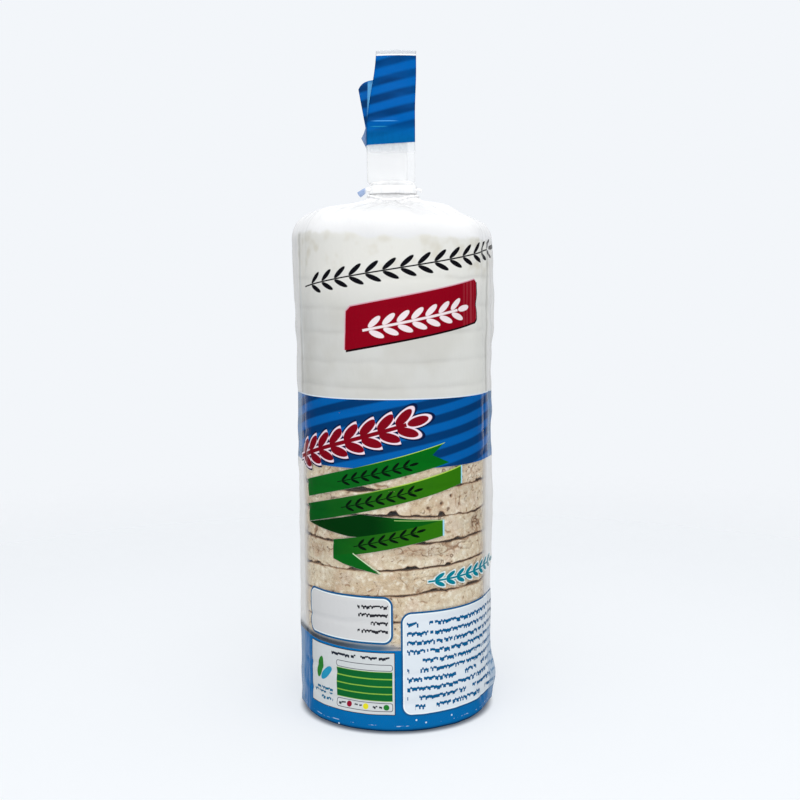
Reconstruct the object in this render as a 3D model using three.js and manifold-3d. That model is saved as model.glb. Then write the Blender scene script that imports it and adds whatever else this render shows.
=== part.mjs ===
// A sealed film pack of puffed rice cakes, standing upright. A round tube of film covers a stack of round
// cakes and dips in between them. Above the stack the film closes in a pleated shoulder to a tied neck, and
// the flattened end of the tube stands up as two leaves.
// Millimetres, +Z up. The front faces -Y, and the origin is the middle of the foot.

import * as THREE from "three";
import { mergeVertices } from "three/addons/utils/BufferGeometryUtils.js";
import Module from "manifold-3d";

// The stack: the height of each cake from the foot up, and where the lowest one starts.
const CAKE_HEIGHTS = [
  12.5, 12.5, 12.5, 12.5, 12.7, 12.8, 11.7, 12.2, 12.7,
  11.4, 11.3, 11.2, 11.3, 11.4, 12.9, 11.4, 13.6, 14.4,
];
const STACK_BOTTOM = 1.0;

// The foot: a flat ring with a small rounded outer edge and a shallow pleated hollow inside it.
const FOOT_INNER = 33.0;
const FOOT_OUTER = 42.5;
const EDGE_RADIUS = 2.0;
const HOLLOW_DEPTH = 2.4;
const FOOT_PLEATS = 11;
const FOOT_PLEAT_DEPTH = 0.5;
const FOOT_PLEATS_FULL = 8.0; // inside this radius they have their full depth

// The wall over the cakes: how far it dips at each gap, and how far above and below the gap the dip reaches.
const WALL_RADIUS = FOOT_OUTER + EDGE_RADIUS;
const GAP_DIP = 0.6;
const GAP_REACH = 2.3;

// The two creases down the sides. The film leaves the stack there and runs straight out to the crease, which
// stands off by the side slack: more towards the top on the left, and more in three bulges on the right.
const SIDE_SLACK = 2.2;
const LEFT_TOP_SLACK = { from: 165, to: 221, size: 1.6 };
const RIGHT_BULGES = [
  { height: 13, reach: 9, size: 2.4 },
  { height: 100, reach: 18, size: 1.2 },
  { height: 199, reach: 22, size: 1.4 },
];

// The shoulder and the neck. The puff lifts the left shoulder above the mean and lowers the right one.
const SHOULDER_START = 223.0;
const SHOULDER_RADIUS = 30.0;
const SHOULDER_HEIGHT = 239.2;
const SHOULDER_PULL = { out: 0.8, up: 8.5, along: 10, down: 2.6 };
const DOME_PULL = { along: 9, up: 2.2, in: 1.5, lift: 3.4 };
const PUFF = { radius: 37, reach: 8, size: 1.5 };
const NECK_HALF_WIDTH = 11.6;
const NECK_FLATNESS = 0.36; // depth over width
const FLAT_FROM_RADIUS = 24.0;
const NECK_BOTTOM = 245.2;
const NECK_TOP = 252.6;
const SHOULDER_PLEATS = 11;
const SHOULDER_PLEAT_DEPTH = 0.9;
const UNEVEN_PLEATS = { count: 5, share: 0.4, turn: 1.0 };

// The tie: a flat band round the neck in a groove, with its two ends standing out at the sides.
const TIE_BOTTOM = 246.5;
const TIE_HEIGHT = 3.9;
const TIE_THICKNESS = 0.7;
const TIE_CLEARANCE = 0.4;
const TIE_ENDS = [
  { root: [-11.3, 0, 248.8], tip: [-16.6, -0.8, 245.9], rootRadius: 0.9, tipRadius: 1.2 },
  { root: [11.2, 0, 248.0], tip: [13.3, -0.6, 246.9], rootRadius: 0.7, tipRadius: 0.8 },
];
const GROOVE_DEPTH = 1.2;
const GROOVE_HALF_WIDTH = NECK_HALF_WIDTH - GROOVE_DEPTH;

// The tail: two leaves that leave the neck as one strip, as deep as the neck at its root.
const LEAF_ROOT = 251.4;
const LEAF_THIN_FROM = 259.0;
const LEAF_SPLIT = 264.0;
const LEAF_THICKNESS = 1.3;
const ROOT_THICKNESS = 5.2;

// The front leaf is bent forward at its crease, bows out between its edges, and its upper left is folded in.
const FRONT_LEAF = { top: 313.2, left: -12.0, right: 10.7 };
const FRONT_FOLD = { from: 276, to: 314, size: 4.6 };
const FRONT_FLARE = { from: 283, to: 305, size: 0.7 };
const FRONT_BEND = { height: 280, reach: 16, size: 2.4 };
const FRONT_BOW = { from: LEAF_SPLIT, to: 290, size: 1.1 };

// The back leaf leans back and to the left. Its top left corner is rounded, and it has a small ear low down.
const BACK_LEAF = { top: 301.2, left: -12.2, right: 7.0, back: 0.5 };
const BACK_LEAN = { from: 275, left: 0.18, back: 0.16 };
const BACK_CORNER = { drop: 4.9, reach: 3.0 };
const BACK_EAR = { height: 272.7, reach: 5.0, size: 2.5 };

// How finely the surfaces are divided.
const SEGMENTS = 44;
const HOLLOW_RINGS = 4;
const EDGE_STEPS = 3;
const SHOULDER_STEPS = 6;
const DOME_STEPS = 6;
const LEAF_COLUMNS = 6;
const LEAF_ROWS = 18;
const TIE_SEGMENTS = 16;
const TIE_END_SIDES = 8;

const film = new THREE.MeshStandardMaterial({ color: 0xd4dae0, roughness: 0.25, metalness: 0 });
const whiteStrip = new THREE.MeshStandardMaterial({ color: 0xeef0f2, roughness: 0.35, metalness: 0 });

// 0 below from, 1 above to, and a smooth rise between them.
const rise = (value, from, to) => THREE.MathUtils.smoothstep(value, from, to);

// 0 above from, 1 below to, and a smooth rise between them.
const fall = (value, from, to) => THREE.MathUtils.smoothstep(-value, -from, -to);

// The size of a named rise at this height.
const gain = (height, spec) => spec.size * rise(height, spec.from, spec.to);

// A rounded hump of height 1 at centre, which fades out over reach.
const hump = (value, centre, reach) => Math.exp(-(((value - centre) / reach) ** 2));

// The heights at which one cake ends and the next begins.
function gapHeights() {
  let height = STACK_BOTTOM;
  return CAKE_HEIGHTS.slice(0, -1).map((thickness) => (height += thickness));
}

// The half outline of the tube as radius and height, from the middle of the foot up to the neck's top.
function tubeOutline() {
  const outline = [];
  const add = (radius, height) => outline.push(new THREE.Vector2(radius, height));

  for (let ring = 0; ring < HOLLOW_RINGS; ring += 1) {
    const share = ring / HOLLOW_RINGS;
    add(FOOT_INNER * share, HOLLOW_DEPTH * (1 - share ** 3));
  }
  add(FOOT_INNER, 0);
  for (let step = 0; step <= EDGE_STEPS; step += 1) {
    const turn = (Math.PI / 2) * (step / EDGE_STEPS);
    add(FOOT_OUTER + EDGE_RADIUS * Math.sin(turn), EDGE_RADIUS * (1 - Math.cos(turn)));
  }
  for (const gap of gapHeights()) {
    add(WALL_RADIUS, gap - GAP_REACH);
    add(WALL_RADIUS - GAP_DIP, gap);
    add(WALL_RADIUS, gap + GAP_REACH);
  }
  outline.push(...shoulderCurve().getPoints(SHOULDER_STEPS), ...domeCurve().getPoints(DOME_STEPS).slice(1));
  add(GROOVE_HALF_WIDTH, TIE_BOTTOM - TIE_CLEARANCE);
  add(GROOVE_HALF_WIDTH, TIE_BOTTOM + TIE_HEIGHT + TIE_CLEARANCE);
  add(NECK_HALF_WIDTH, NECK_TOP - TIE_CLEARANCE);
  add(NECK_HALF_WIDTH, NECK_TOP);
  add(0, NECK_TOP);
  return outline;
}

// The rounded edge at the top of the stack.
function shoulderCurve() {
  return new THREE.CubicBezierCurve(
    new THREE.Vector2(WALL_RADIUS, SHOULDER_START),
    new THREE.Vector2(WALL_RADIUS + SHOULDER_PULL.out, SHOULDER_START + SHOULDER_PULL.up),
    new THREE.Vector2(SHOULDER_RADIUS + SHOULDER_PULL.along, SHOULDER_HEIGHT - SHOULDER_PULL.down),
    new THREE.Vector2(SHOULDER_RADIUS, SHOULDER_HEIGHT),
  );
}

// The nearly flat dome, which turns up into the neck.
function domeCurve() {
  return new THREE.CubicBezierCurve(
    new THREE.Vector2(SHOULDER_RADIUS, SHOULDER_HEIGHT),
    new THREE.Vector2(SHOULDER_RADIUS - DOME_PULL.along, SHOULDER_HEIGHT + DOME_PULL.up),
    new THREE.Vector2(NECK_HALF_WIDTH + DOME_PULL.in, SHOULDER_HEIGHT + DOME_PULL.lift),
    new THREE.Vector2(NECK_HALF_WIDTH, NECK_BOTTOM),
  );
}

// How far the film stands off at a side crease at this height: side is -1 on the left and +1 on the right.
function slackAt(side, height) {
  if (side < 0) {
    return SIDE_SLACK + gain(height, LEFT_TOP_SLACK);
  }
  return RIGHT_BULGES.reduce((sum, b) => sum + b.size * hump(height, b.height, b.reach), SIDE_SLACK);
}

// How far a point of the wall or the shoulder's edge moves out at the side creases, on the straight line from
// the crease that touches the round wall.
function creaseAt(angle, radius, height) {
  const corner = WALL_RADIUS + slackAt(Math.sign(angle), height);
  const touching = Math.acos(WALL_RADIUS / corner);
  const fromCrease = Math.min(touching, Math.abs(Math.abs(angle) - Math.PI / 2));
  const onWall = rise(radius, SHOULDER_RADIUS, WALL_RADIUS - 2) * rise(height, 0, EDGE_RADIUS);
  return (WALL_RADIUS / Math.cos(touching - fromCrease) - WALL_RADIUS) * onWall;
}

// How far a point of the shoulder moves up, in pleats that run in to the neck and in the puff on the left.
function shoulderRelief(angle, radius, height) {
  const uneven = UNEVEN_PLEATS.share * Math.cos(UNEVEN_PLEATS.count * angle + UNEVEN_PLEATS.turn);
  const wave = Math.cos(SHOULDER_PLEATS * angle) + uneven;
  const full = fall(radius, WALL_RADIUS, NECK_HALF_WIDTH) * fall(height, NECK_BOTTOM, SHOULDER_HEIGHT);
  const puff = PUFF.size * Math.sin(angle) * hump(radius, PUFF.radius, PUFF.reach);
  return SHOULDER_PLEAT_DEPTH * wave * full - puff;
}

// How far a point of the hollow in the foot moves up, in pleats that run in to the middle.
function hollowRelief(angle, radius) {
  const inside = radius > 0 ? fall(radius, FOOT_INNER - 1, FOOT_PLEATS_FULL) : 0;
  return FOOT_PLEAT_DEPTH * Math.cos(FOOT_PLEATS * angle) * inside;
}

// Moves one point of the plain turned tube to where the slack, pleated film lies.
function drape(point) {
  const radius = Math.hypot(point.x, point.y);
  const angle = Math.atan2(point.x, -point.y); // 0 at the front, positive to the right
  const onTop = point.z > SHOULDER_START;
  const inHollow = !onTop && radius < FOOT_INNER;
  const reach = radius + creaseAt(angle, radius, point.z);
  const flatness = onTop ? fall(radius, FLAT_FROM_RADIUS, NECK_HALF_WIDTH) : 0;
  const depth = THREE.MathUtils.lerp(1, NECK_FLATNESS, flatness);
  if (onTop) {
    point.z += shoulderRelief(angle, radius, point.z);
  }
  if (inHollow) {
    point.z += hollowRelief(angle, radius);
  }
  point.x = reach * Math.sin(angle);
  point.y = -reach * Math.cos(angle) * depth;
}

// The closed tube from foot to neck: the outline turned about the Z axis, then draped.
function tubeGeometry() {
  const geometry = new THREE.LatheGeometry(tubeOutline(), SEGMENTS);
  geometry.rotateX(Math.PI / 2);
  return reshape(geometry, drape);
}

// Moves every vertex of a geometry by a function that changes a point in place.
function reshape(geometry, move) {
  const positions = geometry.getAttribute("position");
  const point = new THREE.Vector3();
  for (let index = 0; index < positions.count; index += 1) {
    point.fromBufferAttribute(positions, index);
    move(point);
    positions.setXYZ(index, point.x, point.y, point.z);
  }
  return geometry;
}

// A block from 0 to 1 each way, divided along its width and its height.
function unitSheet() {
  return new THREE.BoxGeometry(1, 1, 1, LEAF_COLUMNS, 1, LEAF_ROWS).translate(0.5, 0.5, 0.5);
}

// How thick the strip is: as deep as the neck at its root, and a thin fold of film above.
function leafThickness(height) {
  return THREE.MathUtils.lerp(ROOT_THICKNESS, LEAF_THICKNESS, rise(height, LEAF_ROOT, LEAF_THIN_FROM));
}

// The front leaf of the tail.
function frontLeaf() {
  return reshape(unitSheet(), (point) => {
    const height = THREE.MathUtils.lerp(LEAF_ROOT, FRONT_LEAF.top, point.z);
    const left = FRONT_LEAF.left + gain(height, FRONT_FOLD);
    const right = FRONT_LEAF.right + gain(height, FRONT_FLARE);
    const bend = FRONT_BEND.size * hump(height, FRONT_BEND.height, FRONT_BEND.reach);
    const bow = Math.sin(Math.PI * point.x) * gain(height, FRONT_BOW);
    const y = (point.y - 0.5) * leafThickness(height) - bend - bow;
    point.set(THREE.MathUtils.lerp(left, right, point.x), y, height);
  });
}

// The back leaf of the tail.
function backLeaf() {
  return reshape(unitSheet(), (point) => {
    const fromCorner = point.x * (BACK_LEAF.right - BACK_LEAF.left);
    const top = BACK_LEAF.top - BACK_CORNER.drop * Math.exp(-fromCorner / BACK_CORNER.reach);
    const height = THREE.MathUtils.lerp(LEAF_ROOT, top, point.z);
    const ear = BACK_EAR.size * Math.max(0, 1 - Math.abs(height - BACK_EAR.height) / BACK_EAR.reach);
    const lean = BACK_LEAN.left * Math.max(0, height - BACK_LEAN.from);
    const left = BACK_LEAF.left - lean - ear;
    const right = BACK_LEAF.right - lean;
    const back = BACK_LEAF.back + BACK_LEAN.back * Math.max(0, height - LEAF_SPLIT);
    const y = (point.y - 0.5) * leafThickness(height) + back;
    point.set(THREE.MathUtils.lerp(left, right, point.x), y, height);
  });
}

// The band: a flat oval ring round the groove.
function tieBand() {
  const ring = new THREE.Shape();
  const innerWidth = GROOVE_HALF_WIDTH + TIE_CLEARANCE;
  const innerDepth = GROOVE_HALF_WIDTH * NECK_FLATNESS + TIE_CLEARANCE;
  ring.absellipse(0, 0, innerWidth + TIE_THICKNESS, innerDepth + TIE_THICKNESS, 0, 2 * Math.PI);
  const hole = new THREE.Path();
  hole.absellipse(0, 0, innerWidth, innerDepth, 0, 2 * Math.PI);
  ring.holes.push(hole);
  const options = { depth: TIE_HEIGHT, bevelEnabled: false, curveSegments: TIE_SEGMENTS };
  return new THREE.ExtrudeGeometry(ring, options).translate(0, 0, TIE_BOTTOM);
}

// One end of the tie: a short tapered stub from the band's side to its tip.
function tieEnd({ root, tip, rootRadius, tipRadius }) {
  const from = new THREE.Vector3(...root);
  const to = new THREE.Vector3(...tip);
  const run = to.clone().sub(from);
  const turn = new THREE.Quaternion().setFromUnitVectors(new THREE.Vector3(0, 1, 0), run.clone().normalize());
  const middle = from.add(to).multiplyScalar(0.5);
  return new THREE.CylinderGeometry(tipRadius, rootRadius, run.length(), TIE_END_SIDES)
    .applyQuaternion(turn)
    .translate(middle.x, middle.y, middle.z);
}

const wasm = await Module();
wasm.setup();

// A closed geometry as a solid that can be joined.
function solidOf(geometry) {
  geometry.deleteAttribute("normal");
  geometry.deleteAttribute("uv");
  const welded = mergeVertices(geometry, 1e-4);
  const vertProperties = new Float32Array(welded.getAttribute("position").array);
  const triVerts = new Uint32Array(welded.index.array);
  return new wasm.Manifold(new wasm.Mesh({ numProp: 3, vertProperties, triVerts }));
}

// The union of the geometries as one geometry.
function joined(...geometries) {
  const whole = geometries.map(solidOf).reduce((sum, solid) => sum.add(solid));
  const mesh = whole.getMesh();
  const geometry = new THREE.BufferGeometry();
  geometry.setAttribute("position", new THREE.BufferAttribute(mesh.vertProperties, 3));
  geometry.setIndex(new THREE.BufferAttribute(mesh.triVerts, 1));
  geometry.computeVertexNormals();
  return geometry;
}

function namedMesh(name, geometry, material) {
  const mesh = new THREE.Mesh(geometry, material);
  mesh.name = name;
  return mesh;
}

const pack = new THREE.Group();
pack.add(namedMesh("film_pack", joined(tubeGeometry(), frontLeaf(), backLeaf()), film));
pack.add(namedMesh("tie", joined(tieBand(), ...TIE_ENDS.map(tieEnd)), whiteStrip));

export default pack;
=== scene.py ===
"""A tall sealed film pack of puffed rice cakes, dressed over its solid model.

The film is one closed surface from the foot to the neck, printed in parts and clear in others. The stack of
separate cakes stands inside it. Two thin leaves of film stand up from the neck, and a strip ties the neck.
Shapes are worked out in millimetres and put into their meshes in metres. Angles round the pack are 0 at the
front and positive to the right, and the print is laid out in millimetres round the wall and up it.
"""

import math

import bmesh
import bpy
import numpy as np
from mathutils import Matrix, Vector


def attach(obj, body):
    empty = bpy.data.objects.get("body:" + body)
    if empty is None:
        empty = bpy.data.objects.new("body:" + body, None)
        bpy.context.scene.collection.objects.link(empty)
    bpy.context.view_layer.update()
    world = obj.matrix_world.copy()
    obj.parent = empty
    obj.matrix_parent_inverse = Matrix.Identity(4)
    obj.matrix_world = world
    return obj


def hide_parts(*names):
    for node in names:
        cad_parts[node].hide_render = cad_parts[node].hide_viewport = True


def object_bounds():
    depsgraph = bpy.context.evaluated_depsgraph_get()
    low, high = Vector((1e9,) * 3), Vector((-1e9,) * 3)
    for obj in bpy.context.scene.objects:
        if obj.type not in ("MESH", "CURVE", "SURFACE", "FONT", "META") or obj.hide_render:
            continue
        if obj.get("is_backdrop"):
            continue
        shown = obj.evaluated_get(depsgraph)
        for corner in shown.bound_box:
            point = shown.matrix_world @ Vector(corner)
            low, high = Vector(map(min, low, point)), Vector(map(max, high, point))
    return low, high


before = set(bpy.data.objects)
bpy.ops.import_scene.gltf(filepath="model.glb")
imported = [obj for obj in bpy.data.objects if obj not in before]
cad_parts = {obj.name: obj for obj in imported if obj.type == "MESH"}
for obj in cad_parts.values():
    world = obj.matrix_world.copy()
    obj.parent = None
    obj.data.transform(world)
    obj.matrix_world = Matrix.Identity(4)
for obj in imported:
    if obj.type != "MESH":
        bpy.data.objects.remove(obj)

CAD_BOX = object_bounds()
TURN = 2 * math.pi
MILLIMETRE = 0.001
PRINT_UNIT = 100.0  # millimetres of print in a unit of the UV map
LATTICE_ROWS = 128  # of random numbers, after which a noise repeats

# The stack and the tube, with the same sizes as the solid model but a slightly sharper edge of the foot.
CAKE_HEIGHTS = [
    12.5, 12.5, 12.5, 12.5, 12.7, 12.8, 11.7, 12.2, 12.7,
    11.4, 11.3, 11.2, 11.3, 11.4, 12.9, 11.4, 13.6, 14.4,
]
STACK_BOTTOM = 1.0
LEVELS = STACK_BOTTOM + np.concatenate([[0.0], np.cumsum(CAKE_HEIGHTS)])
FOOT_INNER = 33.0
FOOT_OUTER = 43.5
EDGE_RADIUS = 1.0
HOLLOW_DEPTH = 2.4
WALL = FOOT_OUTER + EDGE_RADIUS
SHOULDER_START = 223.0
SHOULDER_TOP = 239.2
NECK_RADIUS = 11.6
NECK_BOTTOM = 245.2
SHOULDER_CURVE = [(WALL, SHOULDER_START), (45.3, 231.5), (40.0, 236.6), (30.0, SHOULDER_TOP)]
DOME_CURVE = [(30.0, SHOULDER_TOP), (21.0, 241.4), (13.1, 242.6), (NECK_RADIUS, NECK_BOTTOM)]
NECK_TOP = 252.6
GROOVE_DEPTH = 1.2
NECK_FLATNESS = 0.36
FLAT_FROM_RADIUS = 24.0
SIDE_SLACK = 2.2
RIGHT_BULGES = [(13.0, 9.0, 2.4), (100.0, 18.0, 1.2), (199.0, 22.0, 1.4)]  # height, reach, size

# The cakes: the ones that the clear window shows are divided more finely.
CAKE_RADIUS = 43.95
SHOWN_CAKES = range(3, 10)
BROKEN_SPOT = (46.5, 92.4, 3.6, 3.8, 2.6)  # round, up, reach round, reach up, depth
LINE_PLACES = (-60.0, -40.0, -20.0, 0.0, 20.0, 40.0, 60.0)  # round the front
LINE_RISES = {  # how far the gap at each level lies above it at these places
    4: (-2.0, -1.4, -0.6, 0.1, 0.4, 0.5, 0.6),
    5: (-2.3, -1.6, -0.9, -0.5, 0.7, 0.9, 0.9),
    6: (-3.0, -1.9, -2.2, -1.4, -0.6, 0.3, -0.3),
    7: (-1.5, -1.2, -1.5, -0.9, -0.8, -0.6, -1.2),
    8: (-0.8, -0.6, -0.2, 0.0, -1.2, -1.5, -1.0),
    9: (-1.6, -1.8, -1.7, -1.1, -0.9, -0.7, -0.9),
}
CHIPS = [  # level of the gap, round, reach round, depth into the rim above it
    (9, -20.0, 7.0, 0.9), (9, 49.0, 4.0, 0.8), (8, -1.0, 2.6, 1.3), (8, 22.5, 1.8, 1.5), (7, 12.0, 2.2, 1.2),
    (7, 31.0, 1.8, 0.9), (6, -43.0, 2.4, 1.8), (6, -19.0, 4.0, 1.2), (6, 7.5, 3.2, 1.5), (6, 26.0, 1.6, 0.9),
    (5, 16.0, 5.0, 0.9), (5, 43.0, 5.0, 0.7),
]
PITS = [(15.6, 103.2, 0.8), (22.6, 104.8, 1.0), (28.0, 107.9, 0.8), (-3.5, 92.5, 0.6), (-7.0, 99.4, 1.2)]
BROWNED = [  # round, up, reach round, reach up, strength
    (9.0, 83.5, 14.0, 3.6, 1.0), (46.5, 92.4, 6.0, 4.5, 0.9), (-41.0, 82.0, 8.0, 5.0, 1.0),
    (11.0, 65.5, 2.6, 2.0, 1.0), (21.5, 101.0, 2.0, 4.0, 0.7), (38.0, 110.0, 9.0, 5.0, 0.7),
    (33.0, 94.5, 7.0, 3.0, 0.4), (-30.0, 69.0, 9.0, 5.0, 0.6), (40.0, 70.0, 6.0, 3.0, 0.5),
]

# The tail's two leaves, and the paths of the tie's two loose ends.
LEAF_ROOT = 250.7
LEAF_TOP = 313.2
LEAF_THICKNESS = 0.5
ROOT_THICKNESS = 5.2
LEFT_END = [(-10.4, -1.4, 248.6), (-12.4, -1.8, 248.9), (-13.6, -1.4, 247.6), (-16.2, -1.0, 245.9)]
RIGHT_END = [(10.4, -1.2, 248.0), (12.4, -1.5, 248.9), (14.0, -1.0, 248.2), (13.3, -0.8, 246.8)]

# Heights in the print, and its colours as they show on the lit front, from 0 to 255.
BASE_TOP = 38.2
BAND_BOTTOM = 121.6
BAND_TOP = 152.9
RIM_HEIGHT = 225.0
STRIPE_PERIOD = 7.9
STRIPES_CLIMBED = 7
FRONT_LIGHT = 0.91
BLUE_LIGHT = (0, 88, 160)
BLUE_DARK = (0, 53, 104)
BLUE_BASE = (0, 100, 162)
RED = (132, 0, 22)
DEEP_RED = (120, 4, 22)
GREEN_DARK = (6, 82, 24)
GREEN_FRESH = (44, 108, 8)
GREEN_SHADE = (2, 49, 11)
YELLOW_GREEN = (170, 205, 70)
PALE_BLUE = (150, 205, 225)
LINE_BLUE = (16, 84, 132)
PANEL_WHITE = (214, 221, 227)
BOX_WHITE = (206, 206, 206)
TEAL = (0, 118, 136)
INK_BLACK = (14, 14, 20)
SMALL_PRINT = [  # left, right, top, rows, spacing, thickness, length of a word, seed, colour
    (-18.0, -3.6, 58.4, 4, 3.75, 1.15, 3.3, 3.0, (40, 40, 46)),
    (-33.0, -3.0, 34.6, 1, 3.0, 1.1, 2.4, 7.0, (34, 40, 52)),
    (-28.6, -24.9, 11.6, 1, 3.0, 0.9, 1.8, 17.0, (50, 54, 60)),
    (-20.4, -16.2, 11.6, 1, 3.0, 0.9, 1.8, 18.0, (50, 54, 60)),
    (-11.0, -6.6, 11.6, 1, 3.0, 0.9, 1.8, 19.0, (50, 54, 60)),
    (-46.8, -32.4, 16.4, 3, 2.3, 1.0, 2.6, 23.0, (20, 96, 130)),
    (5.0, 75.0, 50.2, 10, 4.29, 1.55, 5.2, 31.0, (8, 84, 130)),
]
BACKDROP = (0.896, 0.922, 0.956, 1.0)


# Numbers and noise


def rise(value, start, end):
    """0 below start, 1 above end, and 3t^2 - 2t^3 between them."""
    t = np.clip((value - start) / (end - start), 0.0, 1.0)
    return t * t * (3.0 - 2.0 * t)


def fall(value, start, end):
    """0 above start, 1 below end, and 3t^2 - 2t^3 between them."""
    return 1.0 - rise(value, end, start)


def hump(value, centre, reach):
    """A bell of height 1 at centre: e to the minus ((value - centre) / reach) squared."""
    return np.exp(-(((value - centre) / reach) ** 2))


def turn_of(angle):
    """An angle round the pack as a share of a full turn, from 0 to 1 and a half at the front."""
    return angle / TURN + 0.5


def side_of(turn):
    """Millimetres round the wall from the front, at a share of a full turn."""
    return (turn - 0.5) * TURN * WALL


def soft_noise(turn, up, around, seed):
    """Noise from -1 to 1: random numbers on a lattice of around cells in a full turn, joined smoothly."""
    table = np.random.default_rng(seed).uniform(-1.0, 1.0, (LATTICE_ROWS, around))
    across = turn * around
    column, row = np.floor(across).astype(int), np.floor(up).astype(int)
    s, t = across - column, up - row
    s, t = s * s * (3 - 2 * s), t * t * (3 - 2 * t)
    left, right = column % around, (column + 1) % around
    low, high = row % LATTICE_ROWS, (row + 1) % LATTICE_ROWS
    below = table[low, left] * (1 - s) + table[low, right] * s
    above = table[high, left] * (1 - s) + table[high, right] * s
    return below * (1 - t) + above * t


def nine_cells(turn, up, spot):
    """For each of the nine cells round a place: the cell, and how far right of and above its spot the place
    is."""
    around = spot.shape[1]
    across = turn * around
    column, row = np.floor(across).astype(int), np.floor(up).astype(int)
    for aside in (-1, 0, 1):
        for above in (-1, 0, 1):
            cell = (row + above) % LATTICE_ROWS, (column + aside) % around
            yield cell, across - column - aside - spot[cell][..., 0], up - row - above - spot[cell][..., 1]


def grain_distances(turn, up, around, seed):
    """Distances, in cells, to the nearest and the second nearest of points scattered one to a cell."""
    spot = np.random.default_rng(seed).uniform(0.08, 0.92, (LATTICE_ROWS, around, 2))
    found = [np.hypot(right, over) for _, right, over in nine_cells(turn, up, spot)]
    found = np.sort(np.stack(found), axis=0)
    return found[0], found[1]


def curled_cracks(turn, up, around, seed):
    """Cracks curled like a C: 1 on the ring round each of the points scattered one to a cell, along a
    random part of that ring, and 0 from a tenth of a cell away. Rings and parts differ in size."""
    random = np.random.default_rng(seed)
    cells = (LATTICE_ROWS, around)
    spot = random.uniform(0.1, 0.9, (*cells, 2))
    ring, middle = random.uniform(0.18, 0.46, cells), random.uniform(-np.pi, np.pi, cells)
    reach = random.uniform(-0.8, 1.15, cells)
    deepest = np.zeros_like(turn)
    for cell, right, over in nine_cells(turn, up, spot):
        away = np.abs((np.arctan2(over, right) - middle[cell] + np.pi) % TURN - np.pi)
        line = np.clip(1.0 - np.abs(np.hypot(right, over) - ring[cell]) / 0.10, 0.0, 1.0)
        deepest = np.maximum(deepest, line * np.clip((reach[cell] - away) / 0.4, 0.0, 1.0))
    return deepest


def bezier(corners, count):
    """The points, one to a row, of the cubic Bezier curve with these four corners."""
    t = np.linspace(0.0, 1.0, count)[:, None]
    a, b, c, d = (np.array(corner, float) for corner in corners)
    return a * (1 - t) ** 3 + 3 * b * t * (1 - t) ** 2 + 3 * c * t**2 * (1 - t) + d * t**3


def unit(vectors):
    """Vectors of the same directions and of length 1."""
    return vectors / np.linalg.norm(vectors, axis=-1, keepdims=True)


# Meshes


def surface(name, points, print_place=None, closed_ends=True, marks=None):
    """A mesh from a grid of points, whose columns run round and close, and whose rows run up.

    points is rows x columns x 3 in millimetres. With closed_ends, each end row shrinks to its mean point.
    print_place is rows x (columns + 1) x 2, in millimetres, and becomes the UV map "print".
    marks holds values per grid point, which become vertex attributes.
    """
    rows, columns = points.shape[:2]
    index = np.arange(rows * columns).reshape(rows, columns)
    keep = np.ones(rows * columns, bool)
    flat = points.reshape(-1, 3).copy()
    if closed_ends:
        for end in (0, rows - 1):
            flat[index[end, 0]] = points[end].mean(axis=0)
            keep[index[end, 1:]] = False
            index[end, :] = index[end, 0]
    index = (np.cumsum(keep) - 1)[index]
    ahead = np.roll(index, -1, axis=1)
    row, column = np.mgrid[: rows - 1, :columns]
    corners = [
        np.stack([index[:-1], row, column]),
        np.stack([ahead[:-1], row, column + 1]),
        np.stack([ahead[1:], row + 1, column + 1]),
        np.stack([index[1:], row + 1, column]),
    ]
    quads = np.stack(corners, axis=-1)
    groups = [quads]
    if closed_ends:
        groups = [quads[:, :1, :, [0, 2, 3]], quads[:, 1:-1], quads[:, -1:, :, [0, 1, 2]]]
    sizes = np.concatenate([np.full(group[0, ..., 0].size, group.shape[-1]) for group in groups])
    vertex, place_row, place_column = np.concatenate([group.reshape(3, -1) for group in groups], axis=1)
    mesh = bpy.data.meshes.new(name)
    mesh.vertices.add(int(keep.sum()))
    mesh.vertices.foreach_set("co", (flat[keep] * MILLIMETRE).ravel())
    mesh.loops.add(len(vertex))
    mesh.loops.foreach_set("vertex_index", vertex.astype(np.int32))
    mesh.polygons.add(len(sizes))
    mesh.polygons.foreach_set("loop_start", (np.cumsum(sizes) - sizes).astype(np.int32))
    mesh.update(calc_edges=True)
    mesh.shade_smooth()
    if print_place is not None:
        layer = mesh.uv_layers.new(name="print")
        layer.uv.foreach_set("vector", (print_place[place_row, place_column] / PRINT_UNIT).ravel())
    for mark, values in (marks or {}).items():
        attribute = mesh.attributes.new(mark, "FLOAT", "POINT")
        attribute.data.foreach_set("value", values.reshape(-1)[keep].astype(np.float32))
    mesh.validate()
    piece = bpy.data.objects.new(name, mesh)
    bpy.context.scene.collection.objects.link(piece)
    return piece


def turned(radius, angle, height):
    """Points at this radius, angle and height round the upright axis."""
    height = np.broadcast_to(height, np.broadcast_shapes(radius.shape, angle.shape))
    return np.stack([radius * np.sin(angle), -radius * np.cos(angle), height], axis=-1)


def along_path(path, across, up, wide, deep):
    """A tube's points: each point of the path, plus wide times its across vector and deep times its up
    vector."""
    return path[:, None] + wide[..., None] * across[:, None] + deep[..., None] * up[:, None]


def weld(piece):
    """Joins the doubled points where a closed grid meets itself, and turns every face outward."""
    body = bmesh.new()
    body.from_mesh(piece.data)
    bmesh.ops.remove_doubles(body, verts=body.verts, dist=1e-7)
    bmesh.ops.recalc_face_normals(body, faces=body.faces)
    body.to_mesh(piece.data)
    body.free()
    piece.data.shade_smooth()
    return piece


def ring_surface(name, points):
    """A closed ring from a grid whose rows go round its section and whose columns go round the ring."""
    return weld(surface(name, np.concatenate([points, points[:1]]), closed_ends=False))


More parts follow.
